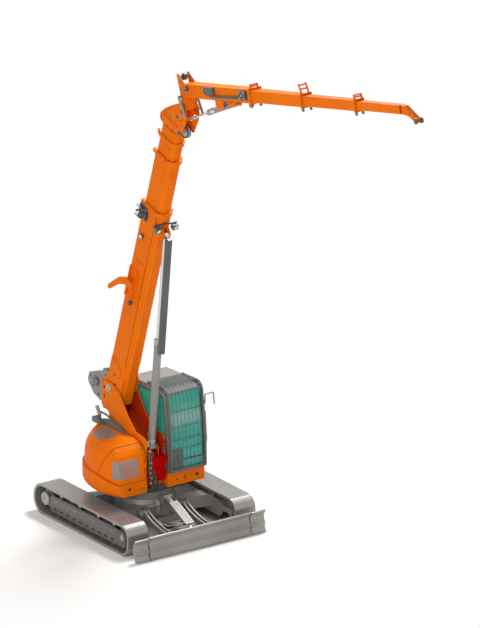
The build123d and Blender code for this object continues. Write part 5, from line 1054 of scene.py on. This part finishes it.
FLOOR_NEAR, FLOOR_FAR = 2.2, 6.5        # the floor fades to white between them, from the slew axis
FLOOR_HALF, FLOOR_DROP = 400.0, 0.002
LAMPS = (                               # name, place from the object's middle, size, power and colour
    ("key", (-3.0, 6.5, 13.0), 4.0, 2250.0, (0.98, 0.99, 1.0)),
    ("fill", (9.0, -11.0, 4.0), 8.0, 850.0, (1.0, 0.97, 0.93)),
    ("back", (-12.0, -3.0, 8.0), 8.0, 300.0, (1.0, 0.97, 0.94)),
)
OBJECT_MIDDLE = Vector((SLEW_X + 1.0, 0, 3.0))
VIEW_CENTRE = Vector((SLEW_X + 3.070, 0, 4.957))
VIEW_BACK = Vector((0.7716, -0.539, 0.3529)).normalized()
VIEW_DISTANCE = 390.0
VIEW_SCALE, IMAGE_HEIGHT = 54.96, 628   # pixels to a metre, and the photograph's height in pixels
SENSOR = 36.0


def is_shown(tree):
    """1 for rays that show a surface to the camera, in a reflection or through glass, 0 for the rest."""
    path = node(tree, "ShaderNodeLightPath").outputs
    either = node(tree, "ShaderNodeMath", {0: path["Is Camera Ray"], 1: path["Is Glossy Ray"]},
                  operation="MAXIMUM")
    every = node(tree, "ShaderNodeMath", {0: either.outputs[0], 1: path["Is Transmission Ray"]},
                 operation="MAXIMUM")
    return every.outputs[0]


def make_floor():
    """White floor that keeps the object's shadow near it and fades into the surroundings."""
    white, shader = new_material("floor_white")
    tree = white.node_tree
    fill(tree, shader, {"Base Color": (0.9, 0.9, 0.9, 1), "Roughness": 0.9})
    place = node(tree, "ShaderNodeNewGeometry").outputs["Position"]
    away = node(tree, "ShaderNodeVectorMath", {0: place, 1: (SLEW_X, 0, 0)}, operation="DISTANCE")
    far = node(tree, "ShaderNodeMapRange", {"Value": away.outputs["Value"], "From Min": FLOOR_NEAR,
                                            "From Max": FLOOR_FAR})
    share = node(tree, "ShaderNodeMath", {0: is_shown(tree), 1: far.outputs["Result"]},
                 operation="MULTIPLY")
    glow = node(tree, "ShaderNodeEmission", {"Color": (1, 1, 1, 1), "Strength": 1.0})
    mixed = node(tree, "ShaderNodeMixShader", {"Fac": share.outputs[0], 1: shader.outputs["BSDF"],
                                               2: glow.outputs["Emission"]})
    tree.links.new(mixed.outputs["Shader"], tree.nodes["Material Output"].inputs["Surface"])
    mesh = bpy.data.meshes.new("floor")
    corners = [(x * FLOOR_HALF, y * FLOOR_HALF, 0) for x, y in ((-1, -1), (1, -1), (1, 1), (-1, 1))]
    mesh.from_pydata(corners, [], [(0, 1, 2, 3)])
    mesh.materials.append(white)
    floor = link_object("floor", mesh)
    floor.location.z = -FLOOR_DROP


def make_world():
    """Surroundings that look white and light the object at a plain level, a little warm."""
    world = bpy.data.worlds.new("surroundings")
    bpy.context.scene.world = world
    world.use_nodes = True
    tree = world.node_tree
    shown = is_shown(tree)
    tone = node(tree, "ShaderNodeMix", {"Factor": shown, "A": (1.0, 0.95, 0.89, 1), "B": (1.0, 1.0, 1.0, 1)},
                data_type="RGBA")
    level = node(tree, "ShaderNodeMapRange", {"Value": shown, "To Min": 0.46, "To Max": 1.0})
    fill(tree, tree.nodes["Background"], {"Color": tone.outputs["Result"],
                                          "Strength": level.outputs["Result"]})


def make_lamps_and_camera():
    """Three soft lamps and the camera of the photograph, from far off."""
    bpy.context.scene.view_settings.view_transform = "Standard"
    for name, offset, size, power, colour in LAMPS:
        light = bpy.data.lights.new(name, "AREA")
        light.size = size
        light.energy = power
        light.color = colour
        lamp = link_object(name, light)
        lamp.location = OBJECT_MIDDLE + Vector(offset)
        lamp.rotation_euler = (-Vector(offset)).to_track_quat("-Z", "Y").to_euler()
    camera = bpy.data.cameras.new("camera")
    camera.sensor_fit = "AUTO"
    camera.sensor_width = SENSOR
    camera.lens = SENSOR * VIEW_DISTANCE * VIEW_SCALE / IMAGE_HEIGHT
    camera.clip_start = 0.9 * VIEW_DISTANCE
    camera.clip_end = 3 * VIEW_DISTANCE
    holder = link_object("camera", camera)
    holder.location = VIEW_CENTRE + VIEW_DISTANCE * VIEW_BACK
    holder.rotation_euler = (-VIEW_BACK).to_track_quat("-Z", "Y").to_euler()
    bpy.context.scene.camera = holder


make_floor()
make_world()
make_lamps_and_camera()
